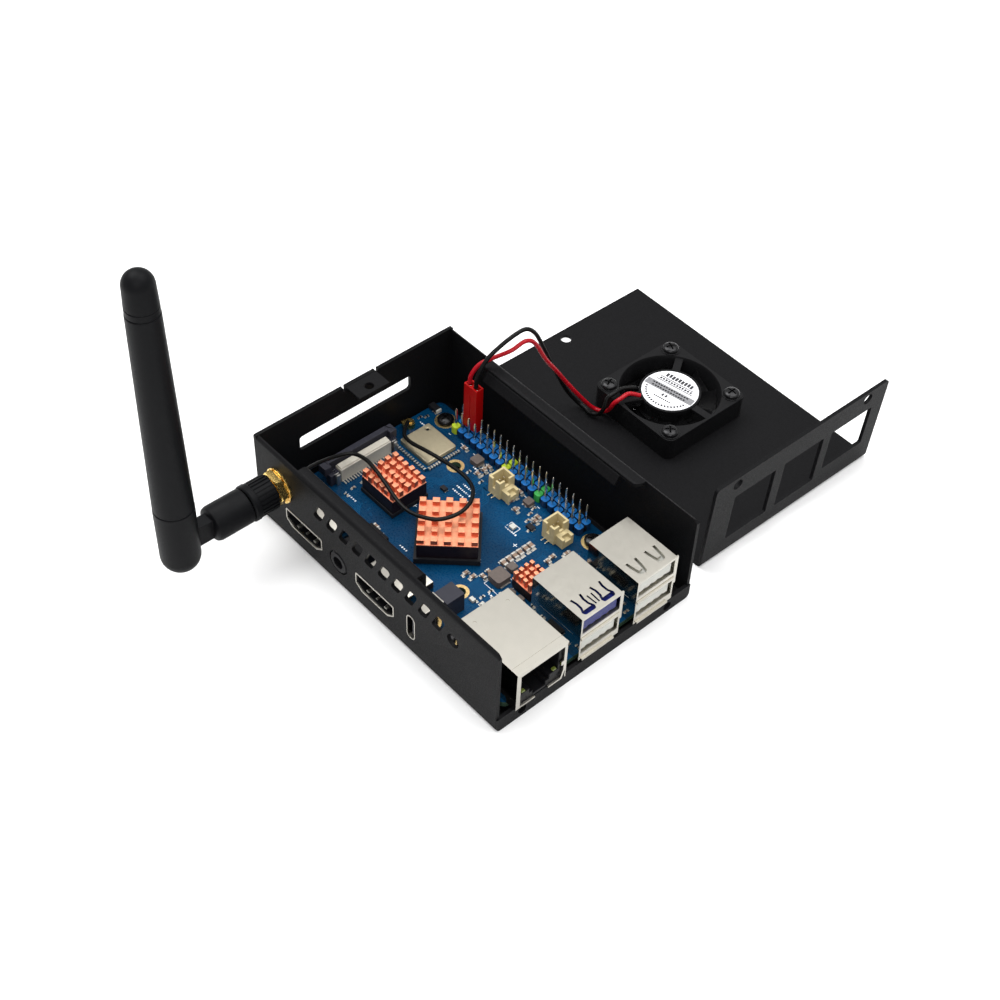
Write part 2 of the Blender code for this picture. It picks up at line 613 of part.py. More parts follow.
def build_sma(finishes):
    barrel = [(0, 28.0), (1.0, 28.0), (1.0, 30.2), (4.2, 30.2), (4.2, 31.3), (SMA_RADIUS, 31.3), (SMA_RADIUS, 42.6),
              (0, 42.6)]
    hole = [(0, 38.0), (2.0, 38.0), (2.0, 44.0), (0, 44.0)]
    piece("sma_jack", along_y(turned(barrel), SMA_X, SMA_Z), finishes["brass"],
          cut=[along_y(turned(hole), SMA_X, SMA_Z)])
    wall = TRAY_WIDTH / 2
    washer = [(SMA_RADIUS + GAP, wall + GAP), (4.9, wall + GAP), (4.9, wall + 0.8), (SMA_RADIUS + GAP, wall + 0.8)]
    piece("sma_washer", along_y(turned(washer), SMA_X, SMA_Z), finishes["brass"])
    nut = prism(circle((SMA_X, SMA_Z), 4.6, 6), "y", -wall - 2.8, -wall - 0.8 - GAP)
    piece("sma_nut", nut, finishes["brass"],
          cut=[prism(circle((SMA_X, SMA_Z), SMA_RADIUS + GAP), "y", -wall - 4, -wall)])


def build_aerial(finishes):
    collar_axis = axis_empty("antenna_collar_axis", (SMA_X, COLLAR_Y[0], SMA_Z))
    arm_axis = axis_empty("antenna_arm_axis", (SMA_X, PIVOT_Y, SMA_Z))
    pivot_axis = axis_empty("antenna_pivot_axis", (SMA_X, PIVOT_Y, SMA_Z))

    start, end = -COLLAR_Y[1], -COLLAR_Y[0]
    ring = [(SMA_RADIUS + GAP, start), (COLLAR_RADIUS - 0.3, start), (COLLAR_RADIUS, start + 0.5),
            (COLLAR_RADIUS, end - 0.5), (COLLAR_RADIUS - 0.3, end), (SMA_RADIUS + GAP, end)]
    ribs = []
    for i in range(SEGMENTS):
        groove = box((-0.16, -0.4, start - 1), (0.16, 0.4, end - 1.4))
        angle = 360 / SEGMENTS * (i + 0.5)
        reach = COLLAR_RADIUS + 0.15
        place = (reach * math.cos(math.radians(angle)), reach * math.sin(math.radians(angle)), 0)
        ribs.append(moved(groove, place=place, turn=angle + 90))
    collar = piece("antenna_collar", along_y(turned(ring, 2 * SEGMENTS), SMA_X, SMA_Z), finishes["antenna plastic"],
                   cut=[along_y(merged(ribs), SMA_X, SMA_Z)])
    parent_keeping_place(collar, collar_axis)

    arm_end = -PIVOT_Y - ARM_START
    arm = [(0, end + GAP), (ARM_RADIUS, end + GAP), (ARM_RADIUS, arm_end - 1.0), (ARM_RADIUS - 1.0, arm_end),
           (0, arm_end)]
    half = TONGUE_THICKNESS / 2
    nose = [(PIVOT_Y - TONGUE_RADIUS * math.sin(math.radians(a)), SMA_Z - TONGUE_RADIUS * math.cos(math.radians(a)))
            for a in range(0, 181, 20)]
    neck = [(2 - arm_end, SMA_Z + TONGUE_RADIUS), (2 - arm_end, SMA_Z - TONGUE_RADIUS)]
    tongue = prism([*neck, *nose], "x", SMA_X - half, SMA_X + half)
    bore = prism(circle((PIVOT_Y, SMA_Z), 1.0 + GAP), "x", SMA_X - 8, SMA_X + 8)
    elbow = piece("antenna_elbow", along_y(turned(arm), SMA_X, SMA_Z), finishes["antenna plastic"], add=[tongue],
                  cut=[bore])
    parent_keeping_place(elbow, arm_axis)

    def upright(profile, sides=SEGMENTS):
        return moved(turned(profile, sides), place=(SMA_X, PIVOT_Y, SMA_Z))

    radius = HINGE_END_RADIUS
    bottom_curve = [(radius * math.sin(math.radians(a)), radius - BLADE_BOTTOM - radius * math.cos(math.radians(a)))
                    for a in range(0, 91, 15)]
    hinge_end = [*bottom_curve, (radius, HINGE_END_TOP), (0, HINGE_END_TOP)]
    slot = box((SMA_X - half - GAP, PIVOT_Y - TONGUE_RADIUS - GAP, SMA_Z - BLADE_BOTTOM - 1),
               (SMA_X + half + GAP, PIVOT_Y + radius + 1, SMA_Z + TONGUE_RADIUS + GAP))
    through = prism(circle((PIVOT_Y, SMA_Z), 1.0 + GAP), "x", SMA_X - 4.4, SMA_X + 4.4)
    spigot_hole = upright([(0, HINGE_END_TOP - 5), (3.3, HINGE_END_TOP - 5), (3.3, HINGE_END_TOP + 1),
                           (0, HINGE_END_TOP + 1)])
    base = piece("antenna_hinge_end", upright(hinge_end), finishes["antenna plastic"],
                 cut=[slot, through, spigot_hole])
    pin = prism(circle((PIVOT_Y, SMA_Z), 1.0, 16), "x", SMA_X - 4.1, SMA_X + 4.1)
    pivot_pin = piece("antenna_pivot_pin", pin, finishes["black steel"])
    sleeve = [(0, HINGE_END_TOP - 4.6), (3.0, HINGE_END_TOP - 4.6), (3.0, HINGE_END_TOP + GAP),
              (radius - 0.1, HINGE_END_TOP + GAP), (TIP_RADIUS + 0.05, SLEEVE_TOP), (2.0, SLEEVE_TOP),
              (2.0, SLEEVE_TOP + 3.0), (0, SLEEVE_TOP + 3.0)]
    tube = piece("antenna_sleeve", upright(sleeve), finishes["antenna plastic"])
    low, shoulder = SLEEVE_TOP + GAP, TIP_TOP - 3.6
    dome = [((TIP_RADIUS - 0.25) * math.cos(math.radians(a)), shoulder + 3.6 * math.sin(math.radians(a)))
            for a in range(0, 91, 15)]
    dome[-1] = (0, TIP_TOP)
    tip = piece("antenna_tip", upright([(2.3, low), (TIP_RADIUS, low), *dome, (0, low + 3.2), (2.3, low + 3.2)]),
                finishes["antenna plastic"])
    for part in (base, pivot_pin, tube, tip):
        parent_keeping_place(part, pivot_axis)


def parent_keeping_place(obj, empty):
    """Hangs a piece and its tools on the empty that marks its axis, where they already are."""
    family = [obj] + [modifier.object for modifier in obj.modifiers if modifier.type == "BOOLEAN"]
    for member in family:
        member.parent = empty
        member.location = member.location - empty.location


# Lid and fan: built about the lid's own centre, then hung on an empty that is turned on the table

def build_lid(finishes, lid_axis):
    half_x = LID_LENGTH / 2
    half_y = LID_WIDTH / 2
    plate = box((-half_x, -half_y, 0), (half_x, half_y, SHEET))
    flange = prism(rounded([(-half_y, 0), (half_y, 0), (half_y, FLANGE_HEIGHT), (-half_y, FLANGE_HEIGHT)],
                           [0, 0, 1.0, 1.0]), "x", -SHEET, 0)
    windows = [box((-4, low, bottom), (3, high, FLANGE_WINDOW_TOP)) for low, high, bottom in FLANGE_WINDOWS]
    windows += [prism(circle((side * END_HOLE_SPACING / 2, FLANGE_HOLE_Z), END_HOLE_RADIUS), "x", -4, 3)
                for side in (-1, 1)]
    leaning = [moved(shape, place=(half_x, 0, 0), turn=FLANGE_LEAN, axis="Y") for shape in (flange, merged(windows))]
    holes = [prism(circle((-half_x + LID_HOLE_INSET, 0), END_HOLE_RADIUS), "z", -1, SHEET + 1)]
    fan_x, fan_y = FAN_PLACE
    reach = FAN_SCREW_SPACING / 2
    holes += [prism(circle((fan_x + a * reach, fan_y + b * reach), 1.5), "z", -1, SHEET + 1)
              for a in (-1, 1) for b in (-1, 1)]
    for i in range(GRILLE_SLOTS):
        offset = (i - (GRILLE_SLOTS - 1) / 2) * 3.4
        length = math.sqrt(12.4**2 - offset**2)
        holes.append(box((fan_x - length, fan_y + offset - 1.0, -1), (fan_x + length, fan_y + offset + 1.0, SHEET + 1)))
    piece("lid", plate, finishes["case"], add=[leaning[0]], cut=[leaning[1], merged(holes)], parent=lid_axis)


def build_fan(finishes, lid_axis):
    centre = (*FAN_PLACE, 0)
    low = SHEET + GAP
    half = FAN_SIDE / 2
    reach = FAN_SCREW_SPACING / 2
    corners = [(-half, -half), (half, -half), (half, half), (-half, half)]
    frame = moved(prism(rounded(corners, FAN_CORNER_RADIUS), "z", low, FAN_TOP), place=centre)
    bore = moved(prism(circle((0, 0), FAN_BORE_RADIUS, 2 * SEGMENTS), "z", low - 1, FAN_TOP + 1), place=centre)
    holes = [moved(prism(circle((a * reach, b * reach), 1.5), "z", low - 1, FAN_TOP + 1), place=centre)
             for a in (-1, 1) for b in (-1, 1)]
    hub_top = FAN_TOP - 0.4
    hub = [(0, hub_top), (FAN_HUB_RADIUS, hub_top), (FAN_HUB_RADIUS, hub_top - 0.8), (3.3, hub_top - 0.8), (3.3, 4.0),
           (2.6, 4.0), (2.6, hub_top - 0.8), (0, hub_top - 0.8)]
    struts = [moved(box((FAN_HUB_RADIUS - 1, -0.9, hub_top - 0.9), (FAN_BORE_RADIUS + 0.7, 0.9, hub_top - 0.1)),
                    turn=angle) for angle in FAN_STRUT_ANGLES]
    spider = [moved(turned(hub), place=centre), *[moved(strut, place=centre) for strut in struts]]
    piece("fan_frame", frame, finishes["fan plastic"], cut=[bore, merged(holes)], spokes=spider, parent=lid_axis)
    for number, (a, b) in enumerate(((-1, -1), (1, -1), (-1, 1), (1, 1)), 1):
        head = [(0, 0.5), (1.1, 0.5), (1.1, FAN_TOP + GAP), (2.8, FAN_TOP + GAP), (2.8, FAN_TOP + 0.6),
                (2.0, FAN_TOP + 1.1), (0, FAN_TOP + 1.3)]
        place = (centre[0] + a * reach, centre[1] + b * reach, 0)
        piece(f"fan_screw_{number}", moved(turned(head, 16), place=place), finishes["black steel"], parent=lid_axis)
    label = [(0, FAN_TOP - 0.1), (8.2, FAN_TOP - 0.1), (8.2, FAN_TOP + 0.1), (0, FAN_TOP + 0.1)]
    piece("fan_label", moved(turned(label, 2 * SEGMENTS), place=centre), finishes["label"], parent=lid_axis)
    winding = [(3.7, 3.6), (6.4, 3.6), (6.4, 6.2), (3.7, 6.2)]
    piece("fan_stator", moved(turned(winding), place=centre), finishes["copper"], parent=lid_axis)
    bearing = [(1.3, 4.0), (2.3, 4.0), (2.3, 6.4), (1.3, 6.4)]
    piece("fan_bearing", moved(turned(bearing), place=centre), finishes["brass"], parent=lid_axis)
    cup = [(0, 2.0), (7.9, 2.0), (8.3, 2.4), (8.3, 6.4), (7.2, 6.4), (7.2, 3.0), (1.0, 3.0), (1.0, 6.2), (0, 6.2)]
    blades = []
    for i in range(FAN_BLADES):
        blade = box((7.9, -0.4, -2.6), (FAN_BORE_RADIUS - 0.5, 0.4, 2.6))
        pitched = moved(blade, place=(0, 0, 4.3), turn=-42, axis="X")
        blades.append(moved(moved(pitched, turn=i * 360 / FAN_BLADES), place=centre))
    trimmed = merged(blades)
    piece("fan_rotor", moved(turned(cup), place=centre), finishes["fan plastic"], add=[trimmed], origin=centre,
          parent=lid_axis)


# Everything together

def build():
    clear_scene()
    finishes = {
        "case": material("case_paint", (0.012, 0.012, 0.013), 0.55),
        "board": material("board_blue", (0.0, 0.055, 0.22), 0.4),
        "brass": material("brass", (0.8, 0.6, 0.25), 0.3, 1.0),
        "black steel": material("black_steel", (0.03, 0.03, 0.03), 0.35, 0.8),
        "tin": material("tin", (0.72, 0.69, 0.62), 0.35, 1.0),
        "copper": material("copper", (0.9, 0.42, 0.26), 0.35, 1.0),
        "header blue": material("header_blue", (0.02, 0.17, 0.55), 0.45),
        "red plastic": material("red_plastic", (0.6, 0.01, 0.01), 0.4),
        "red insulation": material("red_insulation", (0.55, 0.01, 0.02), 0.4),
        "black insulation": material("black_insulation", (0.01, 0.01, 0.01), 0.45),
        "coax jacket": material("coax_jacket", (0.012, 0.012, 0.012), 0.5),
        "black plastic": material("black_plastic", (0.02, 0.02, 0.022), 0.45),
        "cream plastic": material("cream_plastic", (0.75, 0.66, 0.45), 0.45),
        "grey plastic": material("grey_plastic", (0.5, 0.47, 0.4), 0.5),
        "white plastic": material("white_plastic", (0.8, 0.8, 0.78), 0.45),
        "tongue blue": material("tongue_blue", (0.05, 0.06, 0.4), 0.45),
        "chip": material("chip_resin", (0.02, 0.02, 0.022), 0.5),
        "can": material("shield_can", (0.62, 0.58, 0.5), 0.4, 1.0),
        "antenna plastic": material("antenna_plastic", (0.015, 0.016, 0.018), 0.55),
        "fan plastic": material("fan_plastic", (0.015, 0.015, 0.016), 0.5),
        "label": material("label_paper", (0.85, 0.85, 0.85), 0.5),
    }
    build_tray(finishes["case"])
    build_board(finishes)
    build_header(finishes)
    build_rj45(finishes)
    build_usb_stack("usb3", USB3_END, USB3_MIDDLE, finishes, (finishes["white plastic"], finishes["tongue blue"]))
    build_usb_stack("usb2", USB2_END, USB2_MIDDLE, finishes, (finishes["white plastic"],) * 2)
    build_front_ports(finishes)
    build_chips(finishes)
    build_small_connectors(finishes)
    build_sma(finishes)
    build_aerial(finishes)
    lid_axis = axis_empty("lid_axis", (*LID_CENTRE, 0), LID_TURN)
    build_lid(finishes, lid_axis)
    build_fan(finishes, lid_axis)
    cord("coax_lead", COAX_ROUTE, COAX_DIAMETER, finishes["coax jacket"])
    cord("fan_lead_red", RED_ROUTE, LEAD_DIAMETER, finishes["red insulation"])
    cord("fan_lead_black", BLACK_ROUTE, LEAD_DIAMETER, finishes["black insulation"])


build()
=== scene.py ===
"""The looks of a single board computer in its open tray, with its aerial, and its lid with a small fan beside it.

Shapes are made in millimetres in the frame of the CAD model; piece() turns them into metres. Places on the board are
counted from the board's corner by on_board(). The routes of the three leads repeat those of the CAD model.
"""

import random
from math import cos, radians, sin, sqrt, tan

import bmesh
import bpy
from mathutils import Matrix, Vector


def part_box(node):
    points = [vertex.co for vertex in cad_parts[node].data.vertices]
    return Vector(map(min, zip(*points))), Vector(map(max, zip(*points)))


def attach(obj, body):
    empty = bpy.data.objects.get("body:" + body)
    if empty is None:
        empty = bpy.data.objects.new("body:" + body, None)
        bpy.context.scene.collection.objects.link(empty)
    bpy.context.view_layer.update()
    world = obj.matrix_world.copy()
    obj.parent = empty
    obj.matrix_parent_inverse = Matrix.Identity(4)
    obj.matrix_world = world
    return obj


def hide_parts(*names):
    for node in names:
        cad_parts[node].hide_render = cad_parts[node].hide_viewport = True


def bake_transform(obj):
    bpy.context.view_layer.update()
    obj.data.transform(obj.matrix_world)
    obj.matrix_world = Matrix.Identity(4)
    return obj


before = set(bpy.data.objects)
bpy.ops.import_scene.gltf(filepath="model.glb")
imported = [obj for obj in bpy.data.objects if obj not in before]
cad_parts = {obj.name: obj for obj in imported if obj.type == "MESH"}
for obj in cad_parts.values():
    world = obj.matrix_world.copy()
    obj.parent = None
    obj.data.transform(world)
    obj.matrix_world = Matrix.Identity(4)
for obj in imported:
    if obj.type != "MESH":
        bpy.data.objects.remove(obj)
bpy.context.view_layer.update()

MM = 0.001
SHEET = 1.0
BOARD_CORNER = (-40.8, -28.5)
BOARD_TOP = 5.0
SEAT = 5.3
FINE = 64  # sides of a round piece
SHARP = radians(34)  # edges that turn more than this are bevelled
BOTH = (-1, 1)  # the two sides of something

COAX_ROUTE = (
    (-36.1, -26.6, 18.3), (-36.5, -23.6, 18.0), (-37.6, -19.0, 16.4), (-38.6, -13.0, 13.9), (-37.6, -8.8, 12.9),
    (-33.4, -7.8, 13.6), (-28.0, -8.6, 14.3), (-22.0, -9.9, 14.5), (-16.0, -11.2, 14.4), (-11.2, -11.3, 14.3),
    (-6.9, -9.6, 14.3), (-3.9, -6.7, 14.3), (-2.5, -2.0, 14.5), (-3.5, 2.4, 14.5), (-6.7, 6.1, 14.1),
    (-11.3, 8.1, 13.2), (-17.1, 8.8, 12.2), (-22.2, 8.8, 11.2), (-28.1, 8.4, 10.3), (-33.6, 8.0, 9.3),
    (-37.3, 8.7, 8.7), (-39.9, 11.1, 8.2), (-41.6, 13.4, 7.7))
RED_ROUTE = (
    (-29.8, 24.9, 23.7), (-29.8, 25.4, 26.2), (-29.0, 27.4, 29.2), (-27.0, 30.4, 31.2), (-24.2, 34.1, 33.6),
    (-23.2, 37.9, 35.3), (-22.8, 41.1, 33.2), (-21.3, 44.2, 26.6), (-20.3, 47.6, 21.2), (-19.9, 51.0, 15.7),
    (-18.7, 55.4, 8.8), (-17.6, 59.0, 3.6), (-15.8, 60.6, 2.2), (-13.4, 61.3, 3.1), (-11.5, 60.9, 6.0),
    (-10.6, 61.2, 8.3), (-9.8, 62.9, 9.6), (-9.6, 65.7, 9.8), (-7.9, 68.5, 8.7))
BLACK_ROUTE = (
    (-27.3, 24.9, 23.7), (-27.2, 25.2, 27.2), (-26.8, 27.8, 32.0), (-26.0, 31.7, 35.1), (-24.9, 36.0, 37.6),
    (-24.2, 39.2, 38.1), (-23.7, 42.1, 35.3), (-23.0, 44.6, 29.6), (-22.5, 47.8, 22.0), (-22.3, 51.2, 14.7),
    (-22.8, 55.3, 7.2), (-21.2, 58.0, 2.8), (-18.8, 58.7, 1.8), (-16.2, 58.2, 2.1), (-14.1, 59.0, 2.9),
    (-12.7, 59.5, 5.7), (-13.1, 61.0, 8.3), (-12.6, 62.8, 9.4), (-12.6, 66.0, 9.3), (-11.2, 70.0, 8.5))


# Shapes, as meshes in millimetres

def box(low, high):
    shape = bmesh.new()
    size, middle = Vector(high) - Vector(low), (Vector(high) + Vector(low)) / 2
    bmesh.ops.create_cube(shape, size=1.0, matrix=Matrix.Translation(middle) @ Matrix.Diagonal((*size, 1.0)))
    return shape


def boxes(origin, *rows):
    """Boxes counted from an origin; a row is a box's low x and high x, then the same for y and z."""
    x, y, z = origin
    return [box((x + a, y + c, z + e), (x + b, y + d, z + f)) for a, b, c, d, e, f in rows]


def block(centre, size, bottom):
    """A box by its centre in plan, its size, and the height of its underside."""
    (x, y), (width, depth, height) = centre, size
    return box((x - width / 2, y - depth / 2, bottom), (x + width / 2, y + depth / 2, bottom + height))


def rounded(corners, radius, steps=6):
    """The closed outline through the corners, each rounded by an arc (radius is one value, or one for each corner)."""
    radii = radius if isinstance(radius, (list, tuple)) else [radius] * len(corners)
    outline = []
    for i, corner in enumerate(corners):
        here = Vector(corner)
        if radii[i] <= 0:
            outline.append(here)
            continue
        back = (Vector(corners[i - 1]) - here).normalized()
        ahead = (Vector(corners[(i + 1) % len(corners)]) - here).normalized()
        half = back.angle(ahead) / 2
        centre = here + (back + ahead).normalized() * (radii[i] / sin(half))
        first, last = ((here + way * (radii[i] / tan(half)) - centre).normalized() for way in (back, ahead))
        outline += [centre + first.slerp(last, step / steps) * radii[i] for step in range(steps + 1)]
    return outline


def rectangle(low, high):
    return [(low[0], low[1]), (high[0], low[1]), (high[0], high[1]), (low[0], high[1])]


def arc(centre, reach, start, end, steps):
    """Points on an ellipse from the start angle to the end angle in degrees; reach is how wide and high it is."""
    turns = [radians(start + (end - start) * i / steps) for i in range(steps + 1)]
    return [(centre[0] + reach[0] * cos(t), centre[1] + reach[1] * sin(t)) for t in turns]


def circle(centre, radius, sides=FINE):
    return arc(centre, (radius, radius), 0, 360, sides)[:-1]


def closed_skin(shape, rings, caps=True):
    """Faces between each ring of vertices and the next, and over both ends."""
    count = len(rings[0])
    for low, high in zip(rings, rings[1:]):
        for i in range(count):
            shape.faces.new((low[i], low[(i + 1) % count], high[(i + 1) % count], high[i]))
    if caps:
        shape.faces.new(rings[0][::-1])
        shape.faces.new(rings[-1])
    bmesh.ops.recalc_face_normals(shape, faces=shape.faces)
    return shape


def prism(outline, axis, start, end):
    """The outline extruded along an axis: its two numbers are Y and Z along x, X and Z along y, X and Y along z."""
    lift = {"x": lambda p, t: (t, p[0], p[1]), "y": lambda p, t: (p[0], t, p[1]), "z": lambda p, t: (p[0], p[1], t)}
    shape = bmesh.new()
    return closed_skin(shape, [[shape.verts.new(lift[axis](p, t)) for p in outline] for t in (start, end)])


def bent_sheet(points, thickness, bend):
    """The outline of a sheet folded along the points of its middle line; bend is the inner radius of each fold."""
    line = [Vector(point) for point in points]
    sides = ([], [])
    for i, point in enumerate(line):
        before = (point - line[i - 1]).normalized() if i else (line[1] - point).normalized()
        after = (line[i + 1] - point).normalized() if i < len(line) - 1 else before
        across = Vector((-before.y - after.y, before.x + after.x)).normalized()
        reach = thickness / 2 / max(across.dot(Vector((-before.y, before.x))), 0.1)
        turn = before.x * after.y - before.y * after.x
        folded = 0 < i < len(line) - 1
        for side, sign in zip(sides, (1, -1)):
            inner = turn * sign > 0
            side.append((point + across * reach * sign, (bend if inner else bend + thickness) if folded else 0))
    outline = sides[0] + sides[1][::-1]
    return rounded([point for point, _ in outline], [radius for _, radius in outline])


def turned(profile, sides=FINE):
    """The closed (radius, height) profile turned about Z; it may touch the axis."""
    shape = bmesh.new()
    rings = []
    for radius, height in profile:
        if radius < 1e-9:
            rings.append([shape.verts.new((0, 0, height))] * sides)
        else:
            rings.append([shape.verts.new((x, y, height)) for x, y in circle((0, 0), radius, sides)])
    for low, high in zip(rings, rings[1:] + rings[:1]):
        for i in range(sides):
            j = (i + 1) % sides
            corners = list(dict.fromkeys((low[i], low[j], high[j], high[i])))
            if len(corners) > 2:
                shape.faces.new(corners)
    bmesh.ops.recalc_face_normals(shape, faces=shape.faces)
    return shape


def disc(radius, low, high, sides=FINE, inner=0):
    """A round plate between two heights, or a ring where it has an inner radius."""
    return turned([(inner, low), (radius, low), (radius, high), (inner, high)], sides)


def moved(shape, place=(0, 0, 0), turn=0.0, axis="Z"):
    matrix = Matrix.Translation(place) @ Matrix.Rotation(radians(turn), 4, axis)
    bmesh.ops.transform(shape, matrix=matrix, verts=shape.verts)
    return shape


def along_y(shape, x, z):
    """A shape turned about Z, laid so that its axis runs along -Y through (x, z)."""
    return moved(moved(shape, turn=90, axis="X"), (x, 0, z))


def merged(shapes):
    whole = bmesh.new()
    for shape in shapes:
        mesh = bpy.data.meshes.new("part")
        shape.to_mesh(mesh)
        whole.from_mesh(mesh)
        shape.free()
        bpy.data.meshes.remove(mesh)
    return whole


def add_object(name, data):
    obj = bpy.data.objects.new(name, data)
    bpy.context.scene.collection.objects.link(obj)
    return obj


def loose_object(name, shape):
    mesh = bpy.data.meshes.new(name)
    shape.to_mesh(mesh)
    shape.free()
    return add_object(name, mesh)


def combined(base, operation, tools):
    """The base with every tool joined on (UNION), taken away (DIFFERENCE) or shared (INTERSECT)."""
    body = loose_object("combined", base)
    helpers = [loose_object("tool", tool) for tool in tools]
    for helper in helpers:
        modifier = body.modifiers.new("step", "BOOLEAN")
        modifier.object, modifier.operation = helper, operation
    seen = body.evaluated_get(bpy.context.evaluated_depsgraph_get())
    shape = bmesh.new()
    shape.from_mesh(seen.to_mesh())
    for obj in (body, *helpers):
        mesh = obj.data
        bpy.data.objects.remove(obj)
        bpy.data.meshes.remove(mesh)
    return shape


def cut(base, *tools):
    return combined(base, "DIFFERENCE", tools)


def joined(base, *tools):
    return combined(base, "UNION", tools)


def smooth_route(points, spacing):
    """Points about spacing apart on the smooth curve through the route's own points."""
    points = [Vector(point) for point in points]
    ends = [points[0] * 2 - points[1], *points, points[-1] * 2 - points[-2]]
    path = []
    for a, b, c, d in zip(ends, ends[1:], ends[2:], ends[3:]):
        steps = max(1, round((c - b).length / spacing))
        for t in [step / steps for step in range(steps)]:
            path.append(((b * 2) + (c - a) * t + (a * 2 - b * 5 + c * 4 - d) * t**2
                         + (b * 3 - a - c * 3 + d) * t**3) / 2)
    return [*path, points[-1]]


def tube(path, radius, sides=16):
    """A closed tube along the path."""
    shape = bmesh.new()
    rings = []
    across = Vector((0, 0, 1)).cross(path[1] - path[0]).normalized()
    for i, point in enumerate(path):
        ahead = (path[min(i + 1, len(path) - 1)] - path[max(i - 1, 0)]).normalized()
        across = (across - ahead * across.dot(ahead)).normalized()
        other = ahead.cross(across)
        rings.append([shape.verts.new(point + across * x + other * y) for x, y in circle((0, 0), radius, sides)])
    return closed_skin(shape, rings)


def on_board(x, y):
    return BOARD_CORNER[0] + x, BOARD_CORNER[1] + y


def node_box(name):
    low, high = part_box(name)
    return low / MM, high / MM


# Materials, kept by name with the record's slot that each belongs to

LOOKS = {}


def add_node(tree, kind, inputs, **settings):
    """A shader node; inputs gives its sockets values, or other nodes' outputs."""
    made = tree.nodes.new("ShaderNode" + kind)
    for name, value in settings.items():
        setattr(made, name, value)
    for socket, value in inputs.items():
        if isinstance(value, bpy.types.NodeSocket):
            tree.links.new(value, made.inputs[socket])
        else:
            made.inputs[socket].default_value = value
    return made


def texture_noise(tree, size, detail=3.0, stretch=(1, 1, 1)):
    """Noise whose spots are about size millimetres wide, on the object's own coordinates."""
    place = add_node(tree, "TexCoord", {}).outputs["Object"]
    scaled = add_node(tree, "Mapping", {"Vector": place, "Scale": stretch}).outputs[0]
    return add_node(tree, "TexNoise", {"Vector": scaled, "Scale": 1 / (size * MM), "Detail": detail}).outputs["Fac"]


def spread(tree, factor, low, high, start=0.3, end=0.7):
    """Maps start..end, by default the middle of a noise, to low..high."""
    return add_node(tree, "MapRange", {"Value": factor, "From Min": start, "From Max": end, "To Min": low,
                                       "To Max": high}).outputs[0]


def mixed(tree, factor, first, second):
    return add_node(tree, "Mix", {0: factor, 6: first, 7: second}, data_type="RGBA").outputs[2]


def wire(tree, socket, output):
    tree.links.new(output, tree.nodes["Principled BSDF"].inputs[socket])


def shade(color, amount):
    return (*[min(1.0, channel * amount) for channel in color], 1.0)


def finish(name, slot, color, roughness, metallic=0.0, mottle=(0.15, 4.0), grain=(0.004, 0.3), gloss=0.5,
           stretch=(1, 1, 1)):
    """A material with a mottled colour, an uneven roughness and a fine grain: mottle is its share and size in
    millimetres, grain its depth and size, gloss its specular level."""
    made = bpy.data.materials.new(name)
    made.use_nodes = True
    tree = made.node_tree
    for socket, value in (("Metallic", metallic), ("Specular IOR Level", gloss)):
        tree.nodes["Principled BSDF"].inputs[socket].default_value = value
    patches = texture_noise(tree, mottle[1], stretch=stretch)
    wire(tree, "Base Color", mixed(tree, patches, shade(color, 1 - mottle[0]), shade(color, 1 + mottle[0])))
    fine = texture_noise(tree, grain[1], detail=2.0, stretch=stretch)
    wire(tree, "Roughness", spread(tree, fine, roughness - 0.08, roughness + 0.08))
    bump = add_node(tree, "Bump", {"Height": fine, "Distance": grain[0] * MM, "Strength": 1.0})
    wire(tree, "Normal", bump.outputs[0])
    LOOKS[name] = made, slot
    return tree


def facing_up(tree, low=0.25, high=0.75):
    """0 on a piece's sides and 1 on its top."""
    normal = add_node(tree, "NewGeometry", {}).outputs["Normal"]
    return spread(tree, add_node(tree, "SeparateXYZ", {0: normal}).outputs["Z"], 0, 1, low, high)


def paint_side_shade(tree, sides, top):
    """Paints shade on a material: darker colours down its sides than on top, for the shade that falls there; each is a
    darker and a lighter colour.
    """
    patches = texture_noise(tree, 0.8)
    colors = [mixed(tree, patches, (*dark, 1), (*light, 1)) for dark, light in (sides, top)]
    wire(tree, "Base Color", mixed(tree, facing_up(tree), *colors))


def add_board_finish():
    """Blue solder mask: darker and lighter copper areas show through, and the cut edge is bare laminate."""
    tree = finish("solder_mask", "solder_mask", (0.0, 0.06, 0.2), 0.3, grain=(0.001, 0.5), gloss=0.14)
    pours = texture_noise(tree, 14, detail=4.0)
    wide = mixed(tree, spread(tree, pours, 0.0, 1.0), (0.0, 0.016, 0.045, 1), (0.0, 0.04, 0.108, 1))
    weave = texture_noise(tree, 0.7, detail=1.0)
    mask = mixed(tree, spread(tree, weave, 0.0, 0.2), wide, (0.0, 0.06, 0.15, 1))
    wire(tree, "Base Color", mixed(tree, facing_up(tree, 0.5, 0.8), (0.05, 0.09, 0.06, 1), mask))


def add_shell_finish():
    """Tinned sheet: satin on top, smoother down the sides, where it mirrors what stands beside it."""
    tree = finish("tin_shell", "tin_plate", (0.47, 0.45, 0.4), 0.32, 1.0, mottle=(0.05, 3.0), grain=(0.0001, 0.4))
    satin = spread(tree, texture_noise(tree, 0.4), 0.28, 0.36)
    wire(tree, "Roughness", spread(tree, facing_up(tree), 0.1, satin, 0, 1))


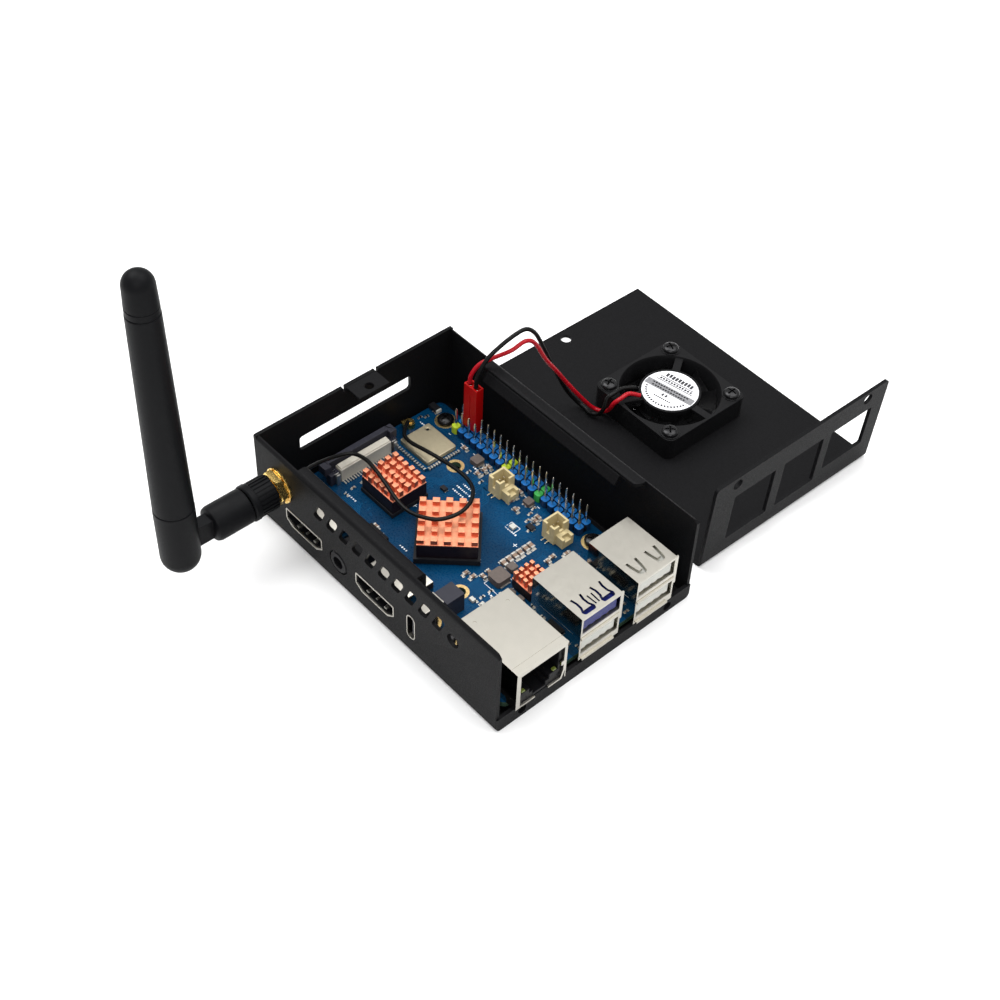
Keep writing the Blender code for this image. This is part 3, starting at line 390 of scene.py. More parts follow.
add_board_finish()
add_shell_finish()
finish("case_paint", "case_paint", (0.0043, 0.0043, 0.0049), 0.55, mottle=(0.5, 0.6), grain=(0.03, 0.35), gloss=0.09)
finish("trace_mask", "solder_mask", (0.0, 0.054, 0.14), 0.34, grain=(0.001, 0.4), gloss=0.14)
finish("silkscreen", "label_paper", (0.75, 0.78, 0.8), 0.6, mottle=(0.12, 0.6))
finish("gold_pad", "brass", (0.75, 0.55, 0.25), 0.32, 1.0, mottle=(0.2, 1.0), grain=(0.002, 0.3))
finish("brass", "brass", (0.85, 0.6, 0.2), 0.22, 1.0, mottle=(0.12, 1.0), grain=(0.002, 0.3))
finish("solder_ends", "tin_plate", (0.58, 0.56, 0.52), 0.35, 1.0, mottle=(0.2, 0.4), grain=(0.01, 0.25))
finish("pin_plate", "tin_plate", (0.85, 0.82, 0.74), 0.2, 1.0, mottle=(0.1, 1.0), grain=(0.002, 0.3))
finish("shield_can", "shield_can", (0.48, 0.42, 0.29), 0.42, 1.0, mottle=(0.08, 1.2), grain=(0.003, 0.35))
# Copper pins with painted shade and painted reflection: their sides are coloured darker than their tops.
paint_side_shade(finish("copper_pins_shaded_sides", "copper", (0.95, 0.42, 0.27), 0.36, 0.8, grain=(0.006, 0.3)),
         ((0.36, 0.08, 0.045), (0.64, 0.2, 0.12)), ((0.8, 0.27, 0.14), (1.0, 0.45, 0.27)))
# Copper painted near black: painted shade and painted dark reflection for the heat sinks' sides.
finish("sink_side_painted_shade", "copper", (0.011, 0.006, 0.009), 0.4, 0.2, mottle=(0.4, 1.5), grain=(0.004, 0.4), gloss=0.25)
finish("chip_resin", "chip_resin", (0.01, 0.01, 0.012), 0.5, grain=(0.004, 0.2), gloss=0.2)
finish("ferrite", "chip_resin", (0.085, 0.065, 0.055), 0.5, mottle=(0.3, 0.7), grain=(0.01, 0.3))
finish("capacitor_ceramic", "chip_resin", (0.2, 0.13, 0.09), 0.45, mottle=(0.2, 0.6))
# Header cells with painted shade: darker blue down their sides than on top.
paint_side_shade(finish("header_blue", "header_plastic", (0.006, 0.11, 0.36), 0.4, grain=(0.002, 0.5), gloss=0.25),
         ((0.001, 0.016, 0.06), (0.002, 0.03, 0.1)), ((0.004, 0.1, 0.33), (0.008, 0.13, 0.4)))
finish("header_lime", "header_plastic", (0.42, 0.55, 0.02), 0.4, grain=(0.002, 0.5))
finish("header_green", "header_plastic", (0.03, 0.33, 0.06), 0.4, grain=(0.002, 0.5))
finish("lamp_lens", "header_plastic", (0.12, 0.15, 0.025), 0.3, grain=(0.002, 0.5))
finish("red_plastic", "red_plastic", (0.36, 0.002, 0.002), 0.36, mottle=(0.12, 3), grain=(0.003, 0.5), gloss=0.18)
finish("cream_plastic", "cream_plastic", (0.52, 0.43, 0.235), 0.42, mottle=(0.08, 1.5), grain=(0.004, 0.4),
       gloss=0.25)
finish("grey_strip", "grey_plastic", (0.52, 0.49, 0.42), 0.42, 0.3, mottle=(0.12, 0.6), grain=(0.006, 0.3))
finish("dark_plastic", "black_plastic", (0.004, 0.004, 0.005), 0.45, grain=(0.004, 0.4), gloss=0.12)
finish("latch_plastic", "black_plastic", (0.02, 0.02, 0.03), 0.42, grain=(0.004, 0.5), gloss=0.3)
finish("white_plastic", "white_plastic", (0.5, 0.5, 0.46), 0.42, grain=(0.003, 0.5), gloss=0.25)
finish("blue_plastic", "blue_plastic", (0.004, 0.009, 0.12), 0.38, grain=(0.003, 0.5), gloss=0.25)
finish("black_steel", "black_steel", (0.008, 0.008, 0.009), 0.28, 0.5, grain=(0.003, 0.3))
finish("aerial_plastic", "antenna_plastic", (0.0036, 0.0038, 0.0045), 0.48, mottle=(0.2, 3), grain=(0.006, 0.3),
       gloss=0.08)
finish("fan_plastic", "fan_plastic", (0.006, 0.006, 0.0066), 0.42, mottle=(0.2, 2), grain=(0.004, 0.4), gloss=0.13)
finish("label_paper", "label_paper", (0.8, 0.8, 0.82), 0.4, mottle=(0.03, 3))
finish("label_print", "label_paper", (0.02, 0.02, 0.025), 0.45)
finish("label_grey", "label_paper", (0.2, 0.2, 0.21), 0.45, mottle=(0.5, 0.4))
finish("red_jacket", "red_insulation", (0.36, 0.003, 0.01), 0.32, mottle=(0.1, 5), grain=(0.002, 0.6), gloss=0.25)
finish("black_jacket", "black_jacket", (0.004, 0.004, 0.004), 0.36, mottle=(0.1, 5), grain=(0.002, 0.6), gloss=0.15)
finish("winding", "copper", (0.7, 0.3, 0.12), 0.35, 0.9, mottle=(0.3, 0.4), grain=(0.05, 0.25), stretch=(1, 1, 3))
finish("floor_paper", "", (0.93, 0.93, 0.93), 0.9, mottle=(0.004, 60), gloss=0.1)


# Pieces

def soften(obj, look, bevel, segments=2):
    """Gives an object its material and bevelled edges."""
    obj.data.materials.clear()
    obj.data.materials.append(LOOKS[look][0])
    obj.data.shade_smooth()
    obj.data.set_sharp_from_angle(angle=SHARP)
    if bevel:
        modifier = obj.modifiers.new("edges", "BEVEL")
        modifier.width, modifier.segments = bevel * MM, segments
        modifier.limit_method, modifier.angle_limit = "ANGLE", SHARP
        modifier.harden_normals = True


def piece(name, shape, look, node=None, body="base", bevel=0.12, segments=2):
    """One visible piece: its mesh, bevelled and shaded, riding on its body and standing for a CAD node."""
    shape = merged(shape) if isinstance(shape, list) else shape
    bmesh.ops.scale(shape, vec=(MM, MM, MM), verts=shape.verts)
    obj = loose_object(name, shape)
    soften(obj, look, bevel, segments)
    if body:
        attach(obj, body)
    if node:
        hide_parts(node)
    return obj


def dress(node, look, bevel):
    """Gives a CAD node that stays its material and soft edges."""
    soften(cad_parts[node], look, bevel)


# Camera, lights and floor

def look_from(place, azimuth, elevation, roll):
    """The camera's matrix: azimuth turns from +Y towards -X, elevation is the angle looked down."""
    matrix = Matrix.Translation(Vector(place) * MM)
    for angle, axis in ((azimuth, "Z"), (90 - elevation, "X"), (roll, "Z")):
        matrix = matrix @ Matrix.Rotation(radians(angle), 4, axis)
    return matrix


def build_stage():
    camera = add_object("camera", bpy.data.cameras.new("camera"))
    camera.data.lens = 60.9
    camera.data.sensor_width = 36
    camera.data.clip_start = 0.01
    camera.matrix_world = look_from((213.56, -194.73, 327.11), 46.287, 46.714, 2.729)
    bpy.context.scene.camera = camera

    floor = loose_object("floor", box((-4000, -4000, -5), (4000, 4000, 0)))
    floor.scale = (MM, MM, MM)
    floor.data.materials.append(LOOKS["floor_paper"][0])

    world = bpy.data.worlds.new("studio")
    world.use_nodes = True
    background = world.node_tree.nodes["Background"].inputs
    background["Color"].default_value = (1.0, 1.0, 1.0, 1.0)
    background["Strength"].default_value = 0.62
    bpy.context.scene.world = world
    bpy.context.scene.view_settings.view_transform = "Standard"
    for name, place, size, power in (("key", (-0.45, -0.1, 0.75), 0.5, 5.0), ("top", (0.1, 0.3, 0.9), 0.8, 7.0),
                                     ("front", (0.55, -0.55, 0.8), 0.5, 3.5)):
        light = bpy.data.lights.new(name, "AREA")
        light.size, light.energy = size, power
        lamp = add_object(name, light)
        lamp.location = place
        lamp.rotation_euler = (-Vector(place)).to_track_quat("-Z", "Y").to_euler()


# Leads

def lead(node, route, diameter, look):
    path = smooth_route(route, 0.4)
    obj = piece(node + "_jacket", tube(path, diameter / 2), look, node, body=None, bevel=0)
    return obj


def build_leads():
    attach(lead("coax_lead", COAX_ROUTE, 1.1, "black_jacket"), "base")
    for node, route, look in (("fan_lead_red", RED_ROUTE, "red_jacket"),
                              ("fan_lead_black", BLACK_ROUTE, "black_jacket")):
        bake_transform(lead(node, route, 1.2, look))


# Tray and lid

WALL_X, WALL_Y, TRAY_TOP = 46.5, 32.6, 28.2
LIP_WIDTH, LIP_DROP = 3.9, 5.9
FRONT_LIP_X, BACK_LIP_X, BACK_DROP_X = (-29.3, 16.2), (-28.8, 28.4), (-27.0, 22.4)
BACK_DROP_FOOT = (-1.36, 24.75)  # how far the sloping end's foot stands from the lip's edge, and its height
NEAR_STRIP_TOP = 4.6
TAB_Y, TAB_REACH = (-4.0, 5.8), 6.9
VENT_WIDTH, VENT_Z, VENT_SLANT = 3.2, (18.2, 23.1), 2.2
SMA_X, SMA_Z = -36.1, 18.3
HDMI_X, HDMI_Z = (-27.1, 1.2), 8.6
AUDIO_PLACE, USB_C_PLACE = (-13.1, 8.7), (15.1, 9.8)
SCREW_PLACES = ((3.3, 2.8), (61.4, 2.8), (3.3, 51.8), (61.4, 51.8))
LID_LENGTH, LID_WIDTH, FLANGE_TOP = 90.2, 64.6, 29.6
FLANGE_SLOPE = tan(radians(2.5))
LID_PLACE = Matrix.Translation((-2.6, 74.6, 0)) @ Matrix.Rotation(radians(-1.0), 4, "Z")
FAN_PLACE = (-2.1, 2.5)


def hdmi_outline(x, half_width, half_height, corner):
    """The video socket's mouth: a rectangle with its two lower corners drawn in."""
    side = [(half_width - 2.4, HDMI_Z - half_height), (half_width, HDMI_Z - half_height * 0.35),
            (half_width, HDMI_Z + half_height)]
    return rounded([(x - a, z) for a, z in side[::-1]] + [(x + a, z) for a, z in side], corner, 3)


def slot_outline(centre, size, corner):
    (x, y), (width, height) = centre, size
    return rounded(rectangle((x - width / 2, y - height / 2), (x + width / 2, y + height / 2)), corner, 4)


def vent_outline(x):
    """One leaning air slot, its top carried towards +X."""
    half, lean = VENT_WIDTH / 2, VENT_SLANT / 2
    return rounded([(x - half - lean, VENT_Z[0]), (x + half - lean, VENT_Z[0]), (x + half + lean, VENT_Z[1]),
                    (x - half + lean, VENT_Z[1])], 0.8, 4)


def end_wall(top, upper_corners, start, end):
    """A wall across the tray; it stands a little inside the folded sheet's faces, so that they join cleanly."""
    inset = 0.04
    return prism(rounded(rectangle((-WALL_Y + inset, inset), (WALL_Y - inset, top)), [1.4, 1.4, *upper_corners]),
                 "x", start, end)


def tray_shape():
    middle, above, below = SHEET / 2, TRAY_TOP + 1, TRAY_TOP - LIP_DROP - 1
    wall, inner, brim = WALL_Y - middle, WALL_Y - LIP_WIDTH, TRAY_TOP - middle
    section = bent_sheet([(-inner - middle, below + 1), (-inner - middle, brim), (-wall, brim), (-wall, middle),
                          (wall, middle), (wall, brim), (inner + middle, brim),
                          (inner + BACK_DROP_FOOT[0], BACK_DROP_FOOT[1])], SHEET, 0.35)
    spare = []
    for side, (start, end) in ((-1, FRONT_LIP_X), (1, BACK_LIP_X)):
        near_wall, past_lip = sorted((side * (WALL_Y - SHEET), side * (inner - 3)))
        spare += [box((-WALL_X - 1, near_wall, below), (start, past_lip, above)),
                  box((end, near_wall, below), (WALL_X + 1, past_lip, above))]
    for start, end in ((-WALL_X - 1, BACK_DROP_X[0]), (BACK_DROP_X[1], WALL_X + 1)):
        spare += [box((start, inner - 3, below), (end, inner + SHEET + 0.35, TRAY_TOP - 1.35)),
                  box((start, inner - 3, below + 0.1), (end, inner, above))]
    folded = cut(prism(section, "x", -WALL_X + 0.4, WALL_X - 0.4), *spare)
    tab = prism(bent_sheet([(-WALL_X + middle, TRAY_TOP - 5), (-WALL_X + middle, brim), (-WALL_X + TAB_REACH, brim)],
                           SHEET - 0.06, 0.5), "y", *TAB_Y)
    whole = joined(folded, end_wall(TRAY_TOP, (0.4, 0.4), -WALL_X, -WALL_X + SHEET),
                   end_wall(NEAR_STRIP_TOP, (0, 0), WALL_X - SHEET, WALL_X), tab)

    front = [vent_outline(-20.1 + 5.03 * i) for i in range(10)]
    front += [circle((30.4, 19.2), 2.0), circle((SMA_X, SMA_Z), 3.3), circle(AUDIO_PLACE, 3.5),
              slot_outline(USB_C_PLACE, (3.3, 8.4), 1.5), *[hdmi_outline(x, 7.6, 2.9, 0.5) for x in HDMI_X]]
    openings = [prism(outline, "y", -WALL_Y - 1, -WALL_Y + SHEET + 1) for outline in front]
    openings += [prism(slot_outline((-0.9, 17.05), (37.0, 4.7), 0.9), "x", -WALL_X - 1, -WALL_X + SHEET + 1),
                 prism(circle((-WALL_X + TAB_REACH - 2.3, sum(TAB_Y) / 2), 1.3), "z", TRAY_TOP - 2, above)]
    openings += [prism(circle((side * 24.5, 2.3), 1.3), "x", WALL_X - SHEET - 1, WALL_X + 1) for side in BOTH]
    openings += [prism(circle(on_board(*place), 1.6), "z", -1, SHEET + 1) for place in SCREW_PLACES]
    openings += boxes((-WALL_X, 0, TRAY_TOP), *[(-1, SHEET + 0.6, y - 0.45, y + 0.45, -1.5, 1)
                                                for y in (TAB_Y[0] - 0.45, TAB_Y[1] + 0.45)])
    near_top = [(WALL_X - 1.6, TRAY_TOP + 0.1), (WALL_X + 0.1, TRAY_TOP + 0.1), (WALL_X + 0.1, TRAY_TOP - 1.6)]
    openings.append(prism(near_top, "y", -WALL_Y - 1, WALL_Y + 1))
    end, reach = BACK_LIP_X[1], 2.2
    lip_end = prism([*arc((end - reach, inner + reach), (reach, reach), -90, 0, 8), (end + 0.2, inner - 0.2)],
                    "z", TRAY_TOP - 2, above)
    crease = box((BACK_LIP_X[0] - 1, inner - 0.4, TRAY_TOP - 0.85), (end + 1, inner + 0.1, above))
    return cut(whole, merged(openings), lip_end, crease)


def on_lid(shape):
    """Carries a shape made about the lid's own centre to where the lid lies."""
    bmesh.ops.transform(shape, matrix=LID_PLACE, verts=shape.verts)
    return shape


def lid_shape():
    half_x, half_y, middle = LID_LENGTH / 2, LID_WIDTH / 2, SHEET / 2
    folded = bent_sheet([(-half_x, middle), (half_x - middle, middle),
                         (half_x - middle + (FLANGE_TOP - middle) * FLANGE_SLOPE, FLANGE_TOP)], SHEET, 0.6)
    windows = [rounded(rectangle((low, bottom), (high, 22.2)), 0.5, 3)
               for low, high, bottom in ((-24.4, -9.4, 6.2), (-6.0, 8.8, 6.2), (11.8, 27.6, 8.6))]
    windows += [circle((side * 24.5, 27.0), 1.6) for side in BOTH]
    holes = [circle((-half_x + 3.4, 0), 1.6)]
    for offset in [(i - 3) * 3.4 for i in range(7)]:
        reach = sqrt(12.4**2 - offset**2)
        holes.append(slot_outline((FAN_PLACE[0], FAN_PLACE[1] + offset), (2 * reach, 2.0), 0.95))
    openings = [prism(window, "x", half_x - 4, half_x + 4) for window in windows]
    openings += [prism(hole, "z", -1, SHEET + 1) for hole in holes]
    rim = rounded(rectangle((-half_y, -5), (half_y, FLANGE_TOP)), [0, 0, 1.2, 1.2])
    corners = cut(prism(rectangle((-half_y - 2, 4), (half_y + 2, FLANGE_TOP + 4)), "x", half_x - 3, half_x + 5),
                  prism(rim, "x", half_x - 4, half_x + 6))
    return on_lid(cut(prism(folded, "y", -half_y, half_y), merged(openings), corners))


def build_cases():
    piece("tray_shell", tray_shape(), "case_paint", "tray", bevel=0.1)
    piece("lid_shell", lid_shape(), "case_paint", "lid", "lid", 0.1)


# Fan on the lid

FAN_TOP = 8.0
HUB_RADIUS, HUB_TOP, BORE_RADIUS = 8.7, FAN_TOP - 0.4, 13.8
FAN_CORNERS = [(a * 12.0, b * 12.0) for b in BOTH for a in BOTH]


def on_fan(shape, x=0.0, y=0.0):
    """Carries a shape made about the fan's axis, or about a point beside it, to its place on the lid."""
    return on_lid(moved(shape, (FAN_PLACE[0] + x, FAN_PLACE[1] + y, 0)))


def screw_head(height, seat, turn, radius=2.3):
    """A pan head with a cross recess, standing on its seat."""
    dome = arc((0, seat + height * 0.35), (radius, height * 0.65), 0, 90, 6)
    recess = boxes((0, 0, seat), (-radius * 0.62, radius * 0.62, -0.24, 0.24, height * 0.35, height + 1),
                   (-0.24, 0.24, -radius * 0.62, radius * 0.62, height * 0.35 + 0.01, height + 1.01))
    return moved(cut(turned([(0, seat), (radius, seat), *dome[:-1], (0, seat + height)], 32), *recess), turn=turn)


def fan_blade():
    """One curved blade, twisted from hub to rim."""
    shape = bmesh.new()
    rows = []
    root, steps = 7.9, 6
    for share in [i / steps for i in range(steps + 1)]:
        radius, pitch = root + (BORE_RADIUS - 0.6 - root) * share, radians(38 - 8 * share)
        rows.append([])
        for j in range(steps + 1):
            along = (j / steps - 0.5) * (5.6 + 2.2 * share)
            bow = 0.9 * (1 - (2 * j / steps - 1) ** 2)
            turn = (along * cos(pitch) + bow * sin(pitch) + 1.2 * share) / radius
            lift = along * sin(pitch) - bow * cos(pitch)
            rows[-1].append(shape.verts.new((radius * cos(turn), radius * sin(turn), 4.3 + lift)))
    for a, b in zip(rows, rows[1:]):
        for j in range(steps):
            shape.faces.new((a[j], b[j], b[j + 1], a[j + 1]))
    bmesh.ops.solidify(shape, geom=shape.faces[:], thickness=0.5)
    bmesh.ops.recalc_face_normals(shape, faces=shape.faces)
    return shape


def build_fan():
    bore = turned([(0, 0), (BORE_RADIUS, 0), (BORE_RADIUS, 7.0), (BORE_RADIUS + 0.5, FAN_TOP + 0.01),
                   (BORE_RADIUS + 0.5, 10), (0, 10)], 96)
    holes = [prism(circle(corner, 1.6, 32), "z", 0, 10) for corner in FAN_CORNERS]
    ring = cut(prism(rounded(rectangle((-15, -15), (15, 15)), 2.4, 8), "z", SHEET + 0.05, FAN_TOP), bore,
               merged(holes))
    hub = turned([(0, HUB_TOP - 1.1), (HUB_RADIUS, HUB_TOP - 1.1), (HUB_RADIUS, HUB_TOP + 0.1),
                  (HUB_RADIUS - 0.15, HUB_TOP + 0.25), (HUB_RADIUS - 0.5, HUB_TOP + 0.25),
                  (HUB_RADIUS - 0.55, HUB_TOP), (0, HUB_TOP)], 96)
    start, end = HUB_RADIUS - 1, BORE_RADIUS + 0.9
    struts = [moved(*boxes((0, 0, HUB_TOP), (start, end, -1.1, 1.1, -1.0, -0.1)), turn=angle)
              for angle in (4.5, 124.5)]
    gutter = joined(*boxes((0, 0, HUB_TOP), (start, end, -1.7, -1.2, -1.0, 0.1), (start, end, 1.2, 1.7, -1.0, 0.1),
                           (start - 0.01, end + 0.01, -1.6, 1.6, -1.1, -0.7)))
    piece("fan_housing", on_fan(joined(ring, hub, *struts, moved(gutter, turn=244.5))), "fan_plastic", "fan_frame",
          "lid")
    cup = turned([(0, 2.0), (9.7, 2.0), (9.7, 2.4), (9.1, 2.4), (9.1, 3.2), (8.2, 3.2), (8.2, 6.3), (7.2, 6.3),
                  (7.2, 3.0), (1.0, 3.0), (1.0, 6.1), (0, 6.1)])
    blades = [moved(fan_blade(), turn=40 * i) for i in range(9)]
    piece("fan_impeller", on_fan(merged([cup, *blades])), "fan_plastic", "fan_rotor", "fan_rotor", 0.06)
    for number, corner in enumerate(FAN_CORNERS, 1):
        parts = [screw_head(1.35, FAN_TOP + 0.12, 23 * number), disc(2.75, FAN_TOP + 0.02, FAN_TOP + 0.22, 32, 1.6),
                 disc(1.25, 0.4, FAN_TOP + 0.2, 24)]
        piece(f"fan_screw_head_{number}", on_fan(merged(parts), *corner), "black_steel", f"fan_screw_{number}",
              "lid", 0.06)
    build_fan_label()
    dress("fan_stator", "winding", 0.3)
    dress("fan_bearing", "brass", 0.1)


def build_fan_label():
    """A round white label with a grey band and rows of plain marks, all set at a slant."""
    low, top = HUB_TOP + 0.02, HUB_TOP + 0.14
    slant, reach = 11.0, 7.9
    piece("fan_label_paper", on_fan(disc(8.0, low, top, 96)), "label_paper", "fan_label", "lid", 0.04)

    def strip(middle, height, start, end):
        return box((start, middle - height / 2, top - 0.02), (end, middle + height / 2, top + 0.03))

    chord = sqrt(reach**2 - 1.6**2)
    marks = [strip(4.9 + 0.1 * sin(i * 2.1), 1.5, i - 4.4, i - 3.66) for i in range(9)]
    for middle, height, start, length, count, pitch in (  # rows of marks
            (3.55, 0.26, -5.4, 10.8, 1, 0), (2.05, 0.26, -5.8, 11.6, 1, 0), (2.8, 0.7, -5.2, 0.6, 12, 0.9),
            (0.25, 0.5, -5.8, 0.55, 14, 0.85), (-0.85, 0.5, -5.4, 0.55, 13, 0.85), (-2.7, 1.0, -0.9, 0.6, 2, 1.1),
            (-4.2, 0.5, -2.6, 0.4, 9, 0.62)):
        marks += [strip(middle, height, start + i * pitch, start + i * pitch + length) for i in range(count)]
    for angle in [200 + i * 7.6 for i in range(19)]:
        x, y = 6.7 * cos(radians(angle)), 6.7 * sin(radians(angle))
        marks.append(moved(strip(0, 0.64, -0.25, 0.25), (x, y, 0), angle + 90))
    for name, shapes, look in (("fan_label_band", [strip(-0.3, 2.5, -chord, chord)], "label_grey"),
                               ("fan_label_marks", marks, "label_print")):
        piece(name, on_fan(moved(merged(shapes), turn=slant)), look, body="lid", bevel=0)


# What the board carries: traces, pads, screws and small parts, placed from the board's own corner

RING_HOLES = ((18.2, 42.6), (52.1, 14.9))
KEEP_OUT = (  # low x, low y, high x, high y of what already stands on the board
    (24, 11, 50, 37), (8.6, 17, 23, 30.2), (58.6, 25, 66.8, 33), (1, 34.5, 16, 47.5), (-3.6, 0, 4.5, 25.5),
    (5.5, 0, 22, 9.6), (24, 0, 31.5, 10), (34, 0, 50, 9.6), (51.8, 0, 58.5, 12.4), (66.4, 0.5, 86, 17.8),
    (69.2, 21.8, 86, 36.2), (69.6, 39.8, 86, 54.2), (6.6, 49.4, 58.4, 55.6), (29.5, 42, 38.4, 49.4),
    (50.2, 42, 59.2, 49.4), (52.6, 21.8, 58.6, 27.8), (51, 28.4, 53.8, 39.4), (0.2, 0, 6.6, 6.2),
    (58.2, 0, 64.8, 6.2), (0, 48.6, 6.6, 55), (58.2, 48.6, 64.8, 55), (15.4, 39.8, 21, 45.4),
    (49.4, 12.2, 54.8, 17.6))
CLUSTERS = (  # where the smallest parts stand close together
    (49, 38, 68, 50), (22, 43, 29, 49.5), (38, 42, 50, 49.5), (58, 8, 66.5, 24), (66, 18, 84.5, 22),
    (66, 36, 84.5, 40), (-3, 47, 2, 55), (56, 16, 62, 24), (5, 10, 8, 34))
TRACE_BUNDLES = (  # points of the first trace, how many, and the step to the next one
    (((23.4, 31), (24.8, 36), (24.8, 44)), 7, (0.62, 0.1)),
    (((8, 31.2), (5.2, 34), (-1.6, 34)), 5, (0.1, -0.62)),
    (((16.5, 31.5), (16.5, 34), (19.5, 37), (19.5, 39.2)), 6, (0.62, 0)),
    (((41.5, 38.5), (44.5, 41.5), (44.5, 48.5)), 6, (0.6, 0)),
    (((52, 18), (56, 18), (58.4, 20.4), (65.5, 20.4)), 6, (0, 0.55)),
    (((60, 34.5), (60, 37), (63.5, 40.5), (68.5, 40.5)), 6, (0.5, -0.55)),
    (((61, 9), (64, 12), (64, 17)), 5, (-0.62, 0.1)),
    (((21.5, 11.5), (16, 11.5), (13, 14.5), (8, 14.5)), 6, (0, -0.5)),
    (((33.6, 38), (33.6, 40.6), (31, 43), (28.4, 43)), 5, (-0.6, 0)),
    (((54, 31), (56.5, 33.5), (56.5, 39)), 4, (0.55, 0)),
    (((66.5, 20.5), (68, 19), (84, 19)), 4, (0, 0.6)),
    (((67.5, 37.2), (84, 37.2)), 4, (0, 0.6)),
    (((40, 48.9), (49, 48.9)), 2, (0, -0.6)),
    (((5.2, 26.6), (5.2, 33), (1, 33), (-2.8, 29.2)), 4, (-0.6, -0.1)))


def is_free(x, y, margin=0.5):
    return all(not (low_x - margin < x < high_x + margin and low_y - margin < y < high_y + margin)
               for low_x, low_y, high_x, high_y in KEEP_OUT)


def set_down(shape, x, y, turn=0.0):
    """Carries a shape made about the origin to its place on the board's upper face."""
    return moved(shape, (*on_board(x, y), BOARD_TOP), turn)


def brick(size, bottom, x, y, turn=0.0, aside=(0, 0)):
    """A block on the board; aside is how far it stands from the place that it is turned about."""
    return set_down(block(aside, size, bottom), x, y, turn)


def flat_mark(x, y, size, turn=0.0):
    return brick((*size, 0.035), 0, x, y, turn)


def ring_pad(x, y, inner, outer, height=0.05):
    return set_down(disc(outer, 0, height, 48, inner), x, y)


def build_traces():
    """Bundles of traces with 45 degree turns, each ending in a via, and vias strewn over the free board."""
    ribbons, vias = [], []
    for points, count, step in TRACE_BUNDLES:
        for i in range(count):
            line = [(x + step[0] * i, y + step[1] * i) for x, y in points]
            ribbon = bent_sheet([on_board(*point) for point in line], 0.22, 0)
            ribbons.append(prism(ribbon, "z", BOARD_TOP, BOARD_TOP + 0.03))
            vias += [ring_pad(*point, 0.14, 0.32, 0.04) for point in (line[0], line[-1])]
    piece("board_traces", ribbons, "trace_mask", bevel=0)
    picks = random.Random(11)
    while len(vias) < 330:
        x, y = picks.uniform(-3, 84.4), picks.uniform(0.8, 55.2)
        if is_free(x, y):
            vias.append(ring_pad(x, y, 0.12, 0.28, 0.04))
    piece("board_vias", vias, "trace_mask", bevel=0)


def build_silkscreen():
    """Plain bars, outlines and rows of dashes in white ink."""
    marks = []
    for x, y in ((22.3, 25.2), (47.4, 25.3), (24.6, 12.2), (49.4, 35.8), (8.2, 31), (66.9, 24.2), (58.1, 33.4)):
        marks += [flat_mark(x, y, (1.3, 0.16), turn) for turn in (0, 90)]
    for x, y, count, pitch in ((24.2, 36.6, 9, 0.75), (24, 38.2, 11, 0.7), (24.6, 39.8, 7, 0.75), (57.3, 20, 5, 0.7),
                               (7.1, 14.3, 6, 0.8), (30.6, 13.4, 4, 0.8), (-0.6, 46.2, 4, 0.7), (43.4, 38.2, 6, 0.7),
                               (59.6, 22.2, 4, 0.7), (10, 10.9, 7, 0.8), (66, 45.2, 4, 0.6), (21.6, 46, 3, 0.7)):
        marks += [flat_mark(x + i * pitch, y, (0.42 if i % 3 else 0.28, 0.5 if i % 2 else 0.36)) for i in range(count)]
    for x, y, width, depth in ((56.8, 24.4, 6.0, 6.0), (44.5, 39.4, 3.2, 2.4)):
        marks += [flat_mark(x, y + side * depth / 2, (width, 0.14)) for side in BOTH]
        marks += [flat_mark(x + side * width / 2, y, (0.14, depth)) for side in BOTH]
    marks.append(set_down(disc(1.18, 0, 0.035, 32, 1.0), 66.7, 46.3))
    marks += [flat_mark(8.0 + i * PITCH, 49.3, (0.9, 0.15)) for i in range(0, 20, 2)]
    marks += [flat_mark(x, y, (0.5, 0.3)) for x, y in ((66.2, 28.6), (69.1, 29.4), (67.6, 21.2), (67.9, 38.4))]
    piece("board_silkscreen", marks, "silkscreen", bevel=0)


def end_capped(x, y, size, turn, bodies, ends):
    """A chip capacitor or resistor: its body into bodies and its two metal ends into ends."""
    length, width, height = size
    cap = length * 0.24
    bodies.append(brick((length - 2 * cap + 0.06, width - 0.06, height - 0.03), 0.06, x, y, turn))
    for side in BOTH:
        ends += [brick((cap, width, height), 0.05, x, y, turn, (side * (length - cap) / 2, 0)),
                 brick((cap + 0.3, width + 0.2, 0.05), 0, x, y, turn, (side * (length / 2 + 0.08), 0))]


